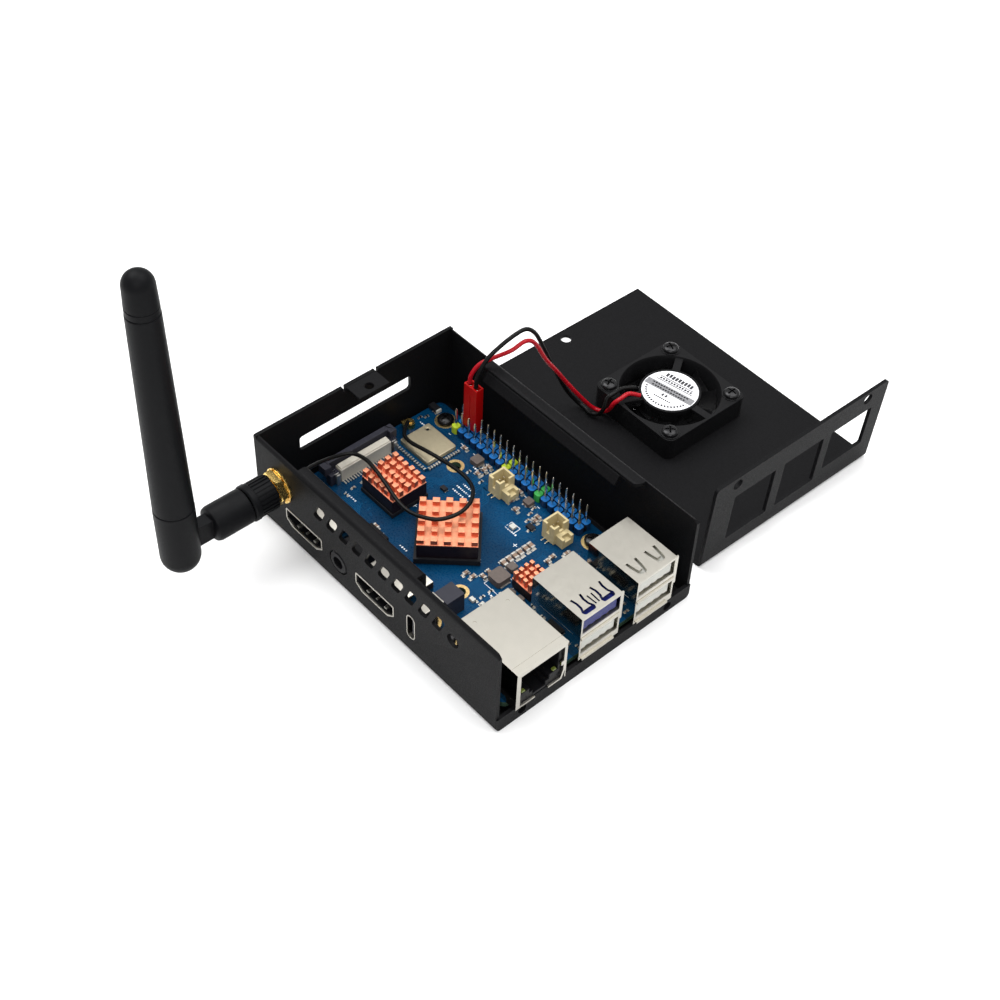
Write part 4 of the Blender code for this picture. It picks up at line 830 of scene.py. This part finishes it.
def build_small_parts():
    brown, dark, ends, ferrite, pale = [], [], [], [], []
    for y in (29.3, 31.2, 33.1, 34.8, 36.8, 38.5):
        end_capped(52.4, y, (2.1, 1.25, 0.95), 0, brown, ends)
    for x, y, turn in ((52.1, 24.6, 0), (52.3, 22.5, 0), (58.6, 40.1, 90), (59.2, 38.3, 0), (24.6, 47.2, 0),
                       (24.6, 48.9, 0), (24.5, 45, 0), (15, 48.7, 0), (37.3, 45.1, 90), (36.8, 47.1, 0),
                       (36.7, 49.1, 0), (40.6, 44, 0), (46.3, 46.6, 0), (46.8, 45.2, 0), (63.4, 36.6, 0),
                       (65.8, 35.2, 90), (60.2, 43.6, 90), (48.6, 19.8, 90), (50.6, 20.4, 90), (21.8, 12.6, 0)):
        end_capped(x, y, (1.7, 0.95, 0.8), turn, brown, ends)
    picks = random.Random(5)
    placed = []
    while len(placed) < 62:
        low_x, low_y, high_x, high_y = picks.choice(CLUSTERS)
        x, y = picks.uniform(low_x, high_x), picks.uniform(low_y, high_y)
        if is_free(x, y, 0.7) and all(abs(x - a) > 1.5 or abs(y - b) > 1.2 for a, b in placed):
            placed.append((x, y))
            end_capped(x, y, (1.0, 0.5, 0.4), picks.choice((0, 90)), picks.choice((dark, brown, dark)), ends)
    for x, y, side, height in ((55.5, 24.9, 4.5, 2.2), (54.9, 29.8, 2.4, 1.4), (60.9, 24, 2.0, 1.2),
                               (63.9, 24.2, 2.0, 1.2), (21, 47.8, 3.0, 1.6), (40.9, 48.2, 2.4, 1.3)):
        outline = rounded(rectangle((-side / 2, -side / 2), (side / 2, side / 2)), side * 0.16, 3)
        ferrite.append(set_down(prism(outline, "z", 0.08, height), x, y))
        ends += [brick((0.7, side * 0.7, 0.35), 0, x, y, 0, (edge * side / 2, 0)) for edge in BOTH]
    for x, y, width, depth, height in (  # chips with three legs on each side
            (-2.1, 52.4, 3.0, 1.9, 1.2), (68, 42.6, 1.8, 2.6, 0.9), (67.4, 33.4, 1.7, 3.0, 0.9),
            (75.2, 38.4, 4.6, 1.7, 0.9), (76, 19.8, 5.0, 2.2, 0.9), (61.5, 13.8, 2.8, 2.8, 0.8),
            (22.8, 34.6, 1.8, 1.3, 0.8), (47.6, 42.8, 2.2, 1.6, 0.8), (62.4, 9.6, 1.6, 2.9, 0.9)):
        dark.append(brick((width, depth, height), 0.08, x, y))
        ends += [brick((0.5, depth * 0.16, 0.22), 0, x, y, 0, (edge * width / 2, i * depth * 0.32))
                 for i in (-1, 0, 1) for edge in BOTH]
    for x, y, *size in ((44.5, 39.4, 1.6, 1.4, 0.7), (44.8, 10.6, 2.6, 1.5, 0.9), (56.2, 15.4, 1.5, 1.1, 0.8),
                        (58.9, 16.4, 1.1, 0.7, 0.5), (-0.3, 52.4, 0.5, 1.7, 1.1), (72.4, 38.4, 0.8, 1.4, 0.7)):
        pale.append(brick(size, 0.05, x, y))
    for name, shapes, look, node in (
            ("smd_ceramics", brown, "capacitor_ceramic", None), ("smd_dark", dark, "chip_resin", None),
            ("smd_ends", ends, "solder_ends", None), ("smd_inductors", ferrite, "ferrite", "power_chip"),
            ("power_inductor", brick((5.0, 5.6, 6.2), 0.1, 54.6, 9.2), "latch_plastic", None),
            ("smd_pale", pale, "white_plastic", None)):
        piece(name, shapes, look, node, bevel=0.05)


def build_board():
    dress("pcb", "solder_mask", 0.08)
    rings = [ring_pad(*place, 1.5, 2.4) for place in RING_HOLES]
    rings += [ring_pad(*place, 1.5, 3.05) for place in SCREW_PLACES]
    rings += [ring_pad(67.5, y, 1.05, 1.5) for y in (4.0, 51.8)]
    piece("board_rings", rings, "gold_pad", bevel=0)
    for number, place in enumerate(SCREW_PLACES, 1):
        dress(f"standoff_{number}", "brass", 0.1)
        parts = [screw_head(1.3, 0.35, 31 * number), disc(1.15, 1.2 - BOARD_TOP, 0.45, 24)]
        piece(f"board_screw_head_{number}", set_down(merged(parts), *place), "black_steel", f"board_screw_{number}",
              bevel=0.07)
    build_traces()
    build_silkscreen()
    build_small_parts()


# Pin header and the fan's plug

PITCH = 2.54
HEADER_LEFT, HEADER_MIDDLE = BOARD_CORNER[0] + 7.1, BOARD_CORNER[1] + 52.5
PIN_TOP = 13.7
LIME_CELLS, GREEN_COLUMN = ((0, 0), (8, 0), (8, 1)), 13


def pin_shape(x, y, bottom, top, half=0.27):
    """A square pin with a blunt pyramid tip."""
    shape = bmesh.new()
    return closed_skin(shape, [[shape.verts.new((x + a * reach, y + b * reach, z))
                                for a, b in ((-1, -1), (1, -1), (1, 1), (-1, 1))]
                               for z, reach in ((bottom, half), (top - 0.8, half), (top, half * 0.45))])


def build_header():
    cells = {"blue": [], "lime": [], "green": []}
    pins = []
    for column, row in [(column, row) for column in range(20) for row in (0, 1)]:
        x, y = HEADER_LEFT + (column + 0.5) * PITCH, HEADER_MIDDLE + (row - 0.5) * PITCH
        color = "green" if column == GREEN_COLUMN else "lime" if (column, row) in LIME_CELLS else "blue"
        outline = [(x + a, y + b) for a, b in ((-1.1, -0.6), (-0.6, -1.1), (0.6, -1.1), (1.1, -0.6), (1.1, 0.6),
                                               (0.6, 1.1), (-0.6, 1.1), (-1.1, 0.6))]
        cells[color].append(prism(outline, "z", BOARD_TOP + 0.02, BOARD_TOP + 2.5))
        pins.append(pin_shape(x, y, BOARD_TOP + 1.5, PIN_TOP))
    # The web between the cells is painted near black: painted shade between the blue cells.
    shaded_web = block((HEADER_LEFT + 10 * PITCH, HEADER_MIDDLE), (20 * PITCH - 0.5, 2 * PITCH - 1.2, 1.5), BOARD_TOP + 0.3)
    piece("header_web_painted_shade", shaded_web, "dark_plastic", bevel=0.05)
    piece("header_body", cells["blue"], "header_blue", "gpio_header")
    piece("header_cells_lime", cells["lime"], "header_lime")
    piece("header_cells_green", cells["green"], "header_green")
    piece("header_pins", pins, "pin_plate", bevel=0.05)


def build_plug():
    """A two-way crimp housing: each way has a side window over its terminal and an open top."""
    low, high = node_box("fan_plug")
    middle, seam = (low.y + high.y) / 2, (low.x + high.x) / 2
    cuts, terminals = [], []
    for x in (low.x + 0.5 * PITCH, low.x + 1.5 * PITCH):
        cuts += boxes((x, 0, high.z), (-0.85, 0.85, middle - 0.75, middle + 0.75, -2.6, 1),
                      (-0.5, 0.5, high.y - 0.3, high.y + 1, -8.6, -4.8))
        terminals += [moved(disc(0.72, 0, 1.2, 24, 0.45), (x, middle, high.z - 2.5)),
                      *boxes((x, high.y, high.z), (-0.4, 0.4, -0.5, -0.28, -8.4, -5.2))]
    cuts += [box((seam - 0.12, y - 0.15, low.z - 1), (seam + 0.12, y + 0.15, high.z - 3)) for y in (low.y, high.y)]
    piece("plug_housing", cut(box(low, high), merged(cuts)), "red_plastic", "fan_plug", bevel=0.14)
    piece("plug_terminals", terminals, "pin_plate", bevel=0.04)


# Sockets along the near end; their boxes are counted from the mouth's middle at the board

def groove(points, width, top, depth=1.1):
    """A narrow cut of even width along the points, down into a surface at the height top."""
    return prism(bent_sheet(points, width, 0), "z", top - depth, top + depth)


def build_rj45():
    low, high = node_box("rj45_jack")
    low.z = BOARD_TOP + 0.05
    end, middle = high.x, (low.y + high.y) / 2
    near, half, tall, long, wall = (end, middle, low.z), (high.y - low.y) / 2, high.z - low.z, end - low.x, 0.35
    edge, brim = half - wall / 2, tall - wall / 2
    shell = cut(box(low, high), *boxes(near, (wall - long, 1, wall - half, half - wall, -1, tall - wall)))
    rim = boxes(near, (-0.5, 0, -edge, edge, tall - 1.5, brim), (-0.5, 0, -edge, 1.3 - half, 0, brim),
                (-0.5, 0, half - 0.9, edge, 3.0, brim), (-0.5, 0, -edge, 6.2 - half, 0, 0.5),
                (-0.5, 0, half - 5.6, half - 1.4, 0, 0.5), (-0.5, 0, half - 1.7, half - 0.4, 5.2, 6.6),
                (-0.6, 0.12, -half - 0.05, half + 0.05, tall - 0.45, tall + 0.04))
    rim.append(prism([(high.y - 1.9, low.z), (high.y - 1.3, low.z), (high.y - wall / 2, low.z + 3.2),
                      (high.y - 0.9, low.z + 3.2)], "x", end - 0.5, end))
    marks = boxes(near, (-2.3, -2.15, -half - 1, half + 1, tall - 0.12, tall + 1))
    marks += [moved(disc(0.5, -0.5, 0.5, 24), (low.x + 3.0, middle + side * 5.2, high.z + 0.35))
              for side in BOTH]
    piece("rj45_shell", cut(joined(shell, *rim), merged(marks)), "tin_shell", "rj45_jack", bevel=0.1)
    core, *cavity = boxes(near, (0.6 - long, -0.7, 0.55 - half, half - 0.55, 0.1, tall - 0.6),
                          (-12, 0, -5.9, 5.9, 3.9, tall - 1.5), (-9, 0, -3.1, 3.1, 2.3, 4.3),
                          (-9, 0, -2.0, 2.0, 1.0, 2.5))
    piece("rj45_insert", cut(core, *cavity), "dark_plastic", bevel=0.15)
    slope = [(end + a, high.z - b) for a, b in ((-11.8, 7.2), (-11.8, 7.6), (-4.2, 2.5), (-3.2, 2.1), (-3.2, 1.7),
                                                (-4.4, 2.1))]
    contacts = [prism(slope, "y", y - 0.22, y + 0.22) for y in [middle + (i - 3.5) * 1.02 for i in range(8)]]
    piece("rj45_contacts", contacts, "gold_pad", bevel=0.04)
    lamps = boxes(near, *[(-1.7, -0.75, y - 0.6, y + 0.6, 3.92, 4.4) for y in (-5, 5)])
    piece("rj45_lamps", lamps, "lamp_lens", bevel=0.2)


def build_usb(name, flared):
    """A stack of two USB sockets in one folded shell, with two pressed springs in its top."""
    low, high = node_box(f"{name}_stack")
    low.z = BOARD_TOP + 0.05
    end, middle = high.x, (low.y + high.y) / 2
    near, half, tall = (end, middle, BOARD_TOP), (high.y - low.y) / 2, high.z - BOARD_TOP
    levels = (("lower", 2.4), ("upper", 9.9))
    mouths = boxes(near, *[(-12.4, 1, 0.55 - half, half - 0.55, floor, floor + 4.9) for _, floor in levels])
    flanges = boxes(near, (-0.4, 0.02, half - 0.35, half + 0.55, 5.8, tall - 0.1),
                    (-0.3, 0.5, 0.8 - half, half - 1.8, 0.1, 0.62), (-0.3, 0.28, 0.3 - half, half - 0.2, 7.6, 8.4))
    slots = []
    for side in BOTH:
        centre = middle + side * 3.15
        if flared:
            left, width, foot = [(-6.2, -1.5), (-4.6, -1.15), (-2.9, -1.2), (-1.6, -1.75), (-0.95, -1.5)], 0.62, 1.0
            slots.append(groove([(end - 4.8, middle + side * 0.66), (end - 1.6, middle + side * 0.5)], 0.42, high.z))
        else:
            left, width, foot = [(-6.3, -1.5), (-3.6, -1.15), (-1.9, -0.8)], 0.74, 0.9
        right = [(a, -b) for a, b in reversed(left)]
        slots.append(groove([(end + a, centre + b) for a, b in (*left, *right)], width, high.z))
        reach, front = right[0][1] + width / 2 - 0.05, end + right[0][0] - foot / 2 - 0.02
        slots.append(groove([(front, centre - reach), (front, centre + reach)], foot, high.z))
    seam = boxes(near, (low.x + 3 - end, -2.5, -half - 1, 0.12 - half, 8.0, 8.15))
    shell = cut(joined(cut(box(low, high), merged(mouths)), *flanges), *slots, *seam)
    piece(f"{name}_shell", shell, "tin_shell", f"{name}_stack", bevel=0.09)
    for level, floor in levels:
        ways = [(i - 1.5) * 2.3 for i in range(4)]
        notches = boxes(near, *[(-1.3, -0.3, y - 0.5, y + 0.5, floor + 0.2, floor + 1.0) for y in ways])
        slab = cut(*boxes(near, (-12.2, -0.55, -5.5, 5.5, floor + 0.7, floor + 4.3)), merged(notches))
        piece(f"{name}_{level}_tongue_body", slab, "blue_plastic" if flared and level == "upper" else "white_plastic",
              f"{name}_{level}_tongue", bevel=0.15)
        pads = boxes(near, *[(-8.3, -1.25, y - 0.4, y + 0.4, floor + 0.62, floor + 0.85) for y in ways])
        piece(f"{name}_{level}_contacts", pads, "gold_pad", bevel=0.04)


# Sockets along the front wall; their boxes are counted from the mouth at the wall's face

FACE = -WALL_Y


def build_hdmi(number, x):
    front = (x, FACE, BOARD_TOP)
    rim = cut(prism(hdmi_outline(x, 7.45, 2.75, 0.5), "y", FACE - 0.06, FACE + 12.6),
              prism(hdmi_outline(x, 7.05, 2.35, 0.4), "y", FACE - 1, FACE + 11.5))
    springs = []
    for y in (-3.6, 3.6):
        springs += boxes(front, (y - 1.2, y - 0.95, 3.5, 8.5, 6.3, 8), (y + 0.95, y + 1.2, 3.5, 8.5, 6.3, 8),
                         (y - 1.2, y + 1.2, 3.5, 3.8, 6.3, 8))
    plate, back, tongue = boxes(front, (-7.5, 7.5, 1.4, 12.9, 0.1, 6.7), (-7.1, 7.1, 9.5, 11.4, 1.1, 6.0),
                                (-5.9, 5.9, 1.2, 9.7, 3.45, 4.45))
    body = cut(plate, prism(hdmi_outline(x, 7.2, 2.5, 0.4), "y", FACE - 1, FACE + 11.5))
    piece(f"hdmi_shell_{number}", joined(rim, cut(body, merged(springs))), "tin_shell", f"hdmi_port_{number}",
          bevel=0.06)
    lining = cut(prism(hdmi_outline(x, 7.02, 2.32, 0.4), "y", FACE + 0.3, FACE + 9.8),
                 prism(hdmi_outline(x, 6.75, 2.05, 0.3), "y", FACE - 1, FACE + 10.5))
    piece(f"hdmi_core_{number}", joined(back, tongue, lining), "dark_plastic", bevel=0.08)
    pads = boxes(front, *[(i - 4.67, i - 4.33, 1.5, 8, 3.36, 3.5) for i in range(10)],
                 *[(i - 4.17, i - 3.83, 1.5, 8, 4.4, 4.54) for i in range(9)],
                 *[(y - 0.5, y + 0.5, 0.6, 1.9, 1.5, 2.1) for y in (-3.4, 3.4)], (-0.6, 0.1, 0.8, 1.7, 1.5, 1.9))
    piece(f"hdmi_contacts_{number}", pads, "solder_ends", bevel=0.04)


def build_front_ports():
    for number, x in enumerate(HDMI_X, 1):
        build_hdmi(number, x)

    x, z = AUDIO_PLACE
    nose = turned([(1.8, 0.12 - FACE), (2.9, 0.12 - FACE), (3.2, -FACE - 0.2), (3.2, -FACE - 3), (1.8, -FACE - 3)])
    jack = cut(*boxes((x, FACE, BOARD_TOP), (-3.4, 3.4, 1.5, 13.4, 0.1, 6.3)),
               prism(circle((x, z), 1.8, 32), "y", FACE, FACE + 10))
    piece("audio_body", joined(jack, along_y(nose, x, z)), "dark_plastic", "audio_jack")
    sleeve = disc(1.78, -FACE - 6.0, -FACE - 2.6, inner=1.55)
    piece("audio_sleeve", along_y(sleeve, x, z), "pin_plate", bevel=0.03)

    x, z = USB_C_PLACE
    outline = slot_outline((x, z), (3.15, 8.25), 1.45)
    shell = cut(prism(outline, "y", FACE - 0.06, FACE + 7.3),
                prism(slot_outline((x, z), (2.55, 7.65), 1.2), "y", FACE - 1, FACE + 6.5))
    piece("usb_c_shell", shell, "tin_shell", bevel=0.05)
    tongue, body = boxes((x, FACE, z), (-0.35, 0.35, 0.8, 6.6, -3.3, 3.3),
                         (-2.1, 2.1, 1.4, 8.8, BOARD_TOP + 0.1 - z, 14.6 - z))
    piece("usb_c_tongue", tongue, "latch_plastic", bevel=0.1)
    piece("usb_c_body", cut(body, prism(outline, "y", FACE - 1, FACE + 7.4)), "tin_shell", "usb_c_port", bevel=0.2)


# Heat sinks

# Node, size, pins each way, pin width, centre, turn, heights of the foot, plate and pins above the board's upper face,
# name of the pieces and bend
SINKS = (
    ("heatsink_large", (15.6, 15.6), (5, 5), 1.75, (37.1, 23.9), 47, (1.7, 6.5, 8.0), "large_sink", 2),
    ("heatsink_medium", (12.6, 11.4), (6, 5), 1.4, (15.8, 23.6), 0, (1.4, 5.9, 8.0), "medium_sink", 14),
    ("heatsink_small", (6.8, 6.8), (4, 4), 1.08, (62.7, 29.0), 0, (1.1, 3.8, 6.4), "small_sink", 18))


def build_heat_sinks():
    """Each pin may be turned by bend degrees and pushed by that many hundredths of a millimetre."""
    for node, size, counts, pin, centre, turn, (foot, plate, top), name, bend in SINKS:
        # The block under the pins is copper painted near black: painted shade on the sink's sides.
        base = cut(block((0, 0), (*size, plate - 0.35 - foot), foot),
                   block((0, 0), (size[0] - 0.5, size[1] - 0.5, 0.6), foot - 0.3))
        piece(f"{name}_block", set_down(base, *centre, turn), "sink_side_painted_shade", bevel=0.15)
        picks = random.Random(len(name) + counts[0])
        field = [block((0, 0), (size[0] - 0.05, size[1] - 0.05, 0.36), plate - 0.36)]
        for steps in [(i, j) for i in range(counts[0]) for j in range(counts[1])]:
            x, y = (-width / 2 + pin / 2 + 0.15 + step * (width - pin - 0.3) / (count - 1)
                    for width, step, count in zip(size, steps, counts))
            width, depth = pin * picks.uniform(0.9, 1.08), pin * picks.uniform(0.9, 1.08)
            height = (top - plate) * picks.uniform(0.86, 1.0) + 0.1
            pushed = (x + picks.uniform(-0.01, 0.01) * bend, y + picks.uniform(-0.01, 0.01) * bend, 0)
            field.append(moved(block((0, 0), (width, depth, height), plate - 0.1), pushed,
                               picks.uniform(-bend, bend)))
        piece(f"{name}_pins", set_down(merged(field), *centre, turn), "copper_pins_shaded_sides", node, bevel=0.1)
    for node in ("soc_chip", "ram_chip", "usb_hub_chip"):
        dress(node, "chip_resin", 0.12)


# Small connectors and the wireless module

def build_lead_socket(number):
    low, high = node_box(f"lead_socket_{number}")
    corner = (low.x, low.y, SEAT)
    body, foot, *cuts = boxes(corner, (0, 4.4, 0, 5.3, -0.25, 5.6), (4.2, 7.0, 0.7, 4.6, -0.25, 3.0),
                              (0.65, 3.75, 0.65, 4.65, 1.2, 6.5), (3.4, 5, 1.9, 3.4, 3.4, 6.5),
                              (5.6, 8, 1.6, 3.7, 1.8, 4), (1.6, 2.6, -1, 0.9, 2.4, 6.5))
    piece(f"lead_socket_{number}_body", cut(joined(body, foot), *cuts), "cream_plastic", f"lead_socket_{number}")
    pins = [pin_shape(low.x + 2.2, low.y + y, SEAT + 0.9, SEAT + 4.6, 0.22) for y in (1.9, 3.4)]
    pins += boxes(corner, *[(x, x + 0.4, -1.3, 0.6, -0.28, 0) for x in (1.0, 2.4)])
    piece(f"lead_socket_{number}_pins", pins, "pin_plate", bevel=0.04)


def build_fpc_socket():
    low, high = node_box("fpc_socket")
    start, end, brim = low.y + 3.2, high.y - 2.4, high.z - 0.7
    base = box((low.x, start, BOARD_TOP + 0.05), (high.x - 0.9, end, high.z - 0.6))
    slope = prism([(low.x + 0.1, brim), (high.x - 1.0, brim), (high.x - 1.3, high.z - 0.2), (low.x + 0.4, high.z)],
                  "y", start + 0.2, end - 0.2)
    piece("fpc_body", joined(base, slope), "grey_strip", "fpc_socket", bevel=0.1)
    blocks = [box((low.x, a, BOARD_TOP + 0.05), (high.x - 1.3, b, high.z - 1.2))
              for a, b in ((low.y, start - 0.05), (end + 0.05, high.y))]
    piece("fpc_ends", blocks, "latch_plastic", bevel=0.15)
    feet = boxes((high.x, 0, BOARD_TOP), *[(-1.0, 0.5, y - 0.2, y + 0.2, 0.05, 0.35) for y in
                                           [start + 0.5 + i * (end - start - 1.0) / 19 for i in range(20)]])
    feet += boxes((low.x, 0, BOARD_TOP), *[(x, x + 0.35, y - 0.6, y + 0.6, 0.1, high.z - 1.2 - BOARD_TOP)
                                           for y in (start - 1.2, end + 1.2) for x in (0.4, 1.15, 1.9, 2.65)])
    piece("fpc_feet", feet, "solder_ends", bevel=0.04)
    low, high = node_box("fpc_latch")
    bar = [box((low.x + 0.1, low.y + 1.8, low.z), (high.x, high.y - 1.8, high.z))]
    bar += [box((low.x + 0.1, a, low.z + 1.2), (high.x + 1.2, b, high.z - 0.2))
            for a, b in ((low.y, low.y + 2.2), (high.y - 2.2, high.y))]
    piece("fpc_latch_bar", joined(*bar), "latch_plastic", "fpc_latch", "fpc_latch", 0.25)


def build_wifi_module():
    low, high = node_box("wifi_module")
    carrier = box((low.x - 0.9, low.y - 0.9, BOARD_TOP + 0.03), (high.x + 0.5, high.y + 0.5, BOARD_TOP + 0.75))
    piece("wifi_carrier", carrier, "trace_mask", bevel=0.05)
    dot = (low.x + 1.8, high.y - 1.9, high.z)
    can = cut(prism(rounded(rectangle(low, high), 0.6, 4), "z", BOARD_TOP + 0.7, high.z),
              moved(disc(0.45, -0.5, 1.5, 24), dot))
    piece("wifi_can", can, "shield_can", "wifi_module", bevel=0.22, segments=3)
    piece("wifi_dot", moved(disc(0.43, -0.48, -0.2, 24), dot), "chip_resin", bevel=0)
    pads = []
    for i in range(13):
        y, x = low.y + 0.1 + i * 0.85, low.x + 0.2 + i * 0.95
        pads += boxes((0, 0, BOARD_TOP), (high.x + 0.25, high.x + 1.1, y - 0.25, y + 0.25, 0.04, 0.82),
                      (x - 0.25, x + 0.25, low.y - 1.5, low.y - 0.6, 0.04, 0.82))
    piece("wifi_pads", pads, "solder_ends", bevel=0.04)


def build_coax_plug():
    place = (COAX_ROUTE[-1][0] - 0.6, COAX_ROUTE[-1][1] + 1.1, 0)
    cap = turned([(0, BOARD_TOP + 0.1), (1.5, BOARD_TOP + 0.1), (1.5, SEAT + 1.0), (1.2, SEAT + 1.5),
                  (0.8, SEAT + 1.5), (0.7, SEAT + 1.7), (0, SEAT + 1.7)], 32)
    crimp = moved(box((-0.75, -2.2, SEAT + 0.6), (0.75, 0.4, SEAT + 1.6)), place, -20)
    piece("coax_plug_cap", joined(moved(cap, place), crimp), "brass", "coax_plug", bevel=0.08)


# Aerial socket and aerial

PIVOT_Y = -63.1


def on_socket(shape):
    return along_y(shape, SMA_X, SMA_Z)


def build_sma():
    threads = [(3.0, 31.4)]
    for i in range(22):
        threads += [(2.72, 31.6 + i * 0.5), (3.0, 31.85 + i * 0.5)]
    barrel = turned([(0, 28.0), (1.0, 28.0), (1.2, 28.4), (1.2, 30.2), (4.2, 30.2), (4.2, 31.4), *threads,
                     (2.7, 42.6), (2.0, 42.6), (2.0, 38.0), (0, 38.0)])
    piece("sma_barrel", on_socket(barrel), "brass", "sma_jack", bevel=0.06)
    teeth = [moved(*boxes((0, 0, WALL_Y), (4.2, 5.3, -0.22, 0.22, 0.5, 0.9)), turn=22.5 * i) for i in range(16)]
    ring = cut(disc(5.0, WALL_Y + 0.03, WALL_Y + 0.65, inner=3.1), merged(teeth))
    piece("sma_lock_washer", on_socket(ring), "brass", "sma_washer", bevel=0.08)
    cone = turned([(0, WALL_Y), (4.4, WALL_Y + 0.75), (4.95, WALL_Y + 1.15), (4.95, WALL_Y + 2.5),
                   (4.4, WALL_Y + 2.9), (0, WALL_Y + 3.2)])
    nut = combined(prism(circle((0, 0), 4.9, 6), "z", WALL_Y + 0.75, WALL_Y + 2.9), "INTERSECT", [cone])
    piece("sma_hex_nut", on_socket(cut(nut, disc(3.1, WALL_Y - 1, WALL_Y + 5))), "brass", "sma_nut")


def upright(profile):
    return moved(turned(profile, 96), (SMA_X, PIVOT_Y, SMA_Z))


def across_pivot(outline, half):
    return prism(outline, "x", SMA_X - half, SMA_X + half)


def build_aerial():
    start, end = 35.95, 43.3
    ring = turned([(3.2, start), (4.55, start), (4.8, start + 0.25), (4.8, end - 1.9), (5.0, end - 1.7),
                   (5.0, end - 0.4), (4.7, end - 0.05), (3.2, end - 0.05)], 96)
    grooves = [moved(box((-0.27, 4.5, start - 1), (0.27, 5.5, end - 2.0)), turn=360 / 26 * i) for i in range(26)]
    piece("aerial_collar", on_socket(cut(ring, merged(grooves))), "aerial_plastic", "antenna_collar",
          "antenna_collar", 0.1)

    arm_end = -PIVOT_Y - 8.9
    arm = turned([(0, end + 0.25), (4.4, end + 0.25), (4.75, end + 0.5), (4.75, arm_end - 1.2),
                  (4.45, arm_end - 0.4), (3.7, arm_end), (0, arm_end)])
    pivot, eye = (PIVOT_Y, SMA_Z), 3.1
    tongue = across_pivot([(2 - arm_end, SMA_Z + eye), (2 - arm_end, SMA_Z - eye),
                           *arc(pivot, (eye, eye), -90, -270, 18)], 1.8)
    piece("aerial_elbow", cut(joined(on_socket(arm), tongue), across_pivot(circle(pivot, 1.2, 32), 8)),
          "aerial_plastic", "antenna_elbow", "antenna_arm", 0.2)

    radius, bottom, top = 5.1, 8.4, 13.2
    hinge_end = upright([*arc((0, radius - bottom), (radius, radius), -90, 0, 15), (radius, top - 0.25),
                         (radius - 0.2, top), (0, top)])
    slot = box((SMA_X - 2.1, PIVOT_Y - 3.4, SMA_Z - bottom - 1), (SMA_X + 2.1, PIVOT_Y + radius + 1, SMA_Z + 3.4))
    piece("aerial_hinge_end", cut(hinge_end, slot, across_pivot(circle(pivot, 1.2, 32), 4.6)), "aerial_plastic",
          "antenna_hinge_end", "antenna_blade", 0.15)
    dress("antenna_pivot_pin", "black_steel", 0.1)
    sleeve_top, tip, tip_top = 73.3, 3.95, 84.4
    sleeve = [(0, top + 0.02), (radius - 0.25, top + 0.02), (radius - 0.05, top + 0.25),
              (tip + 0.1, sleeve_top - 0.2), (tip - 0.1, sleeve_top), (0, sleeve_top)]
    groove_z = sleeve_top + 1.9
    cap = [(0, sleeve_top + 0.02), (tip - 0.15, sleeve_top + 0.02), (tip, sleeve_top + 0.2), (tip, groove_z - 0.18),
           (tip - 0.2, groove_z), (tip, groove_z + 0.18), *arc((0, tip_top - 3.7), (tip - 0.2, 3.7), 0, 90, 10)[:-1],
           (0, tip_top)]
    for name, profile in (("sleeve", sleeve), ("tip", cap)):
        piece(f"aerial_{name}", upright(profile), "aerial_plastic", f"antenna_{name}", "antenna_blade", 0.06)


build_stage()
build_leads()
build_cases()
build_board()
build_fan()
build_header()
build_plug()
build_rj45()
build_usb("usb3", True)
build_usb("usb2", False)
build_front_ports()
build_heat_sinks()
build_lead_socket(1)
build_lead_socket(2)
build_fpc_socket()
build_wifi_module()
build_coax_plug()
build_sma()
build_aerial()
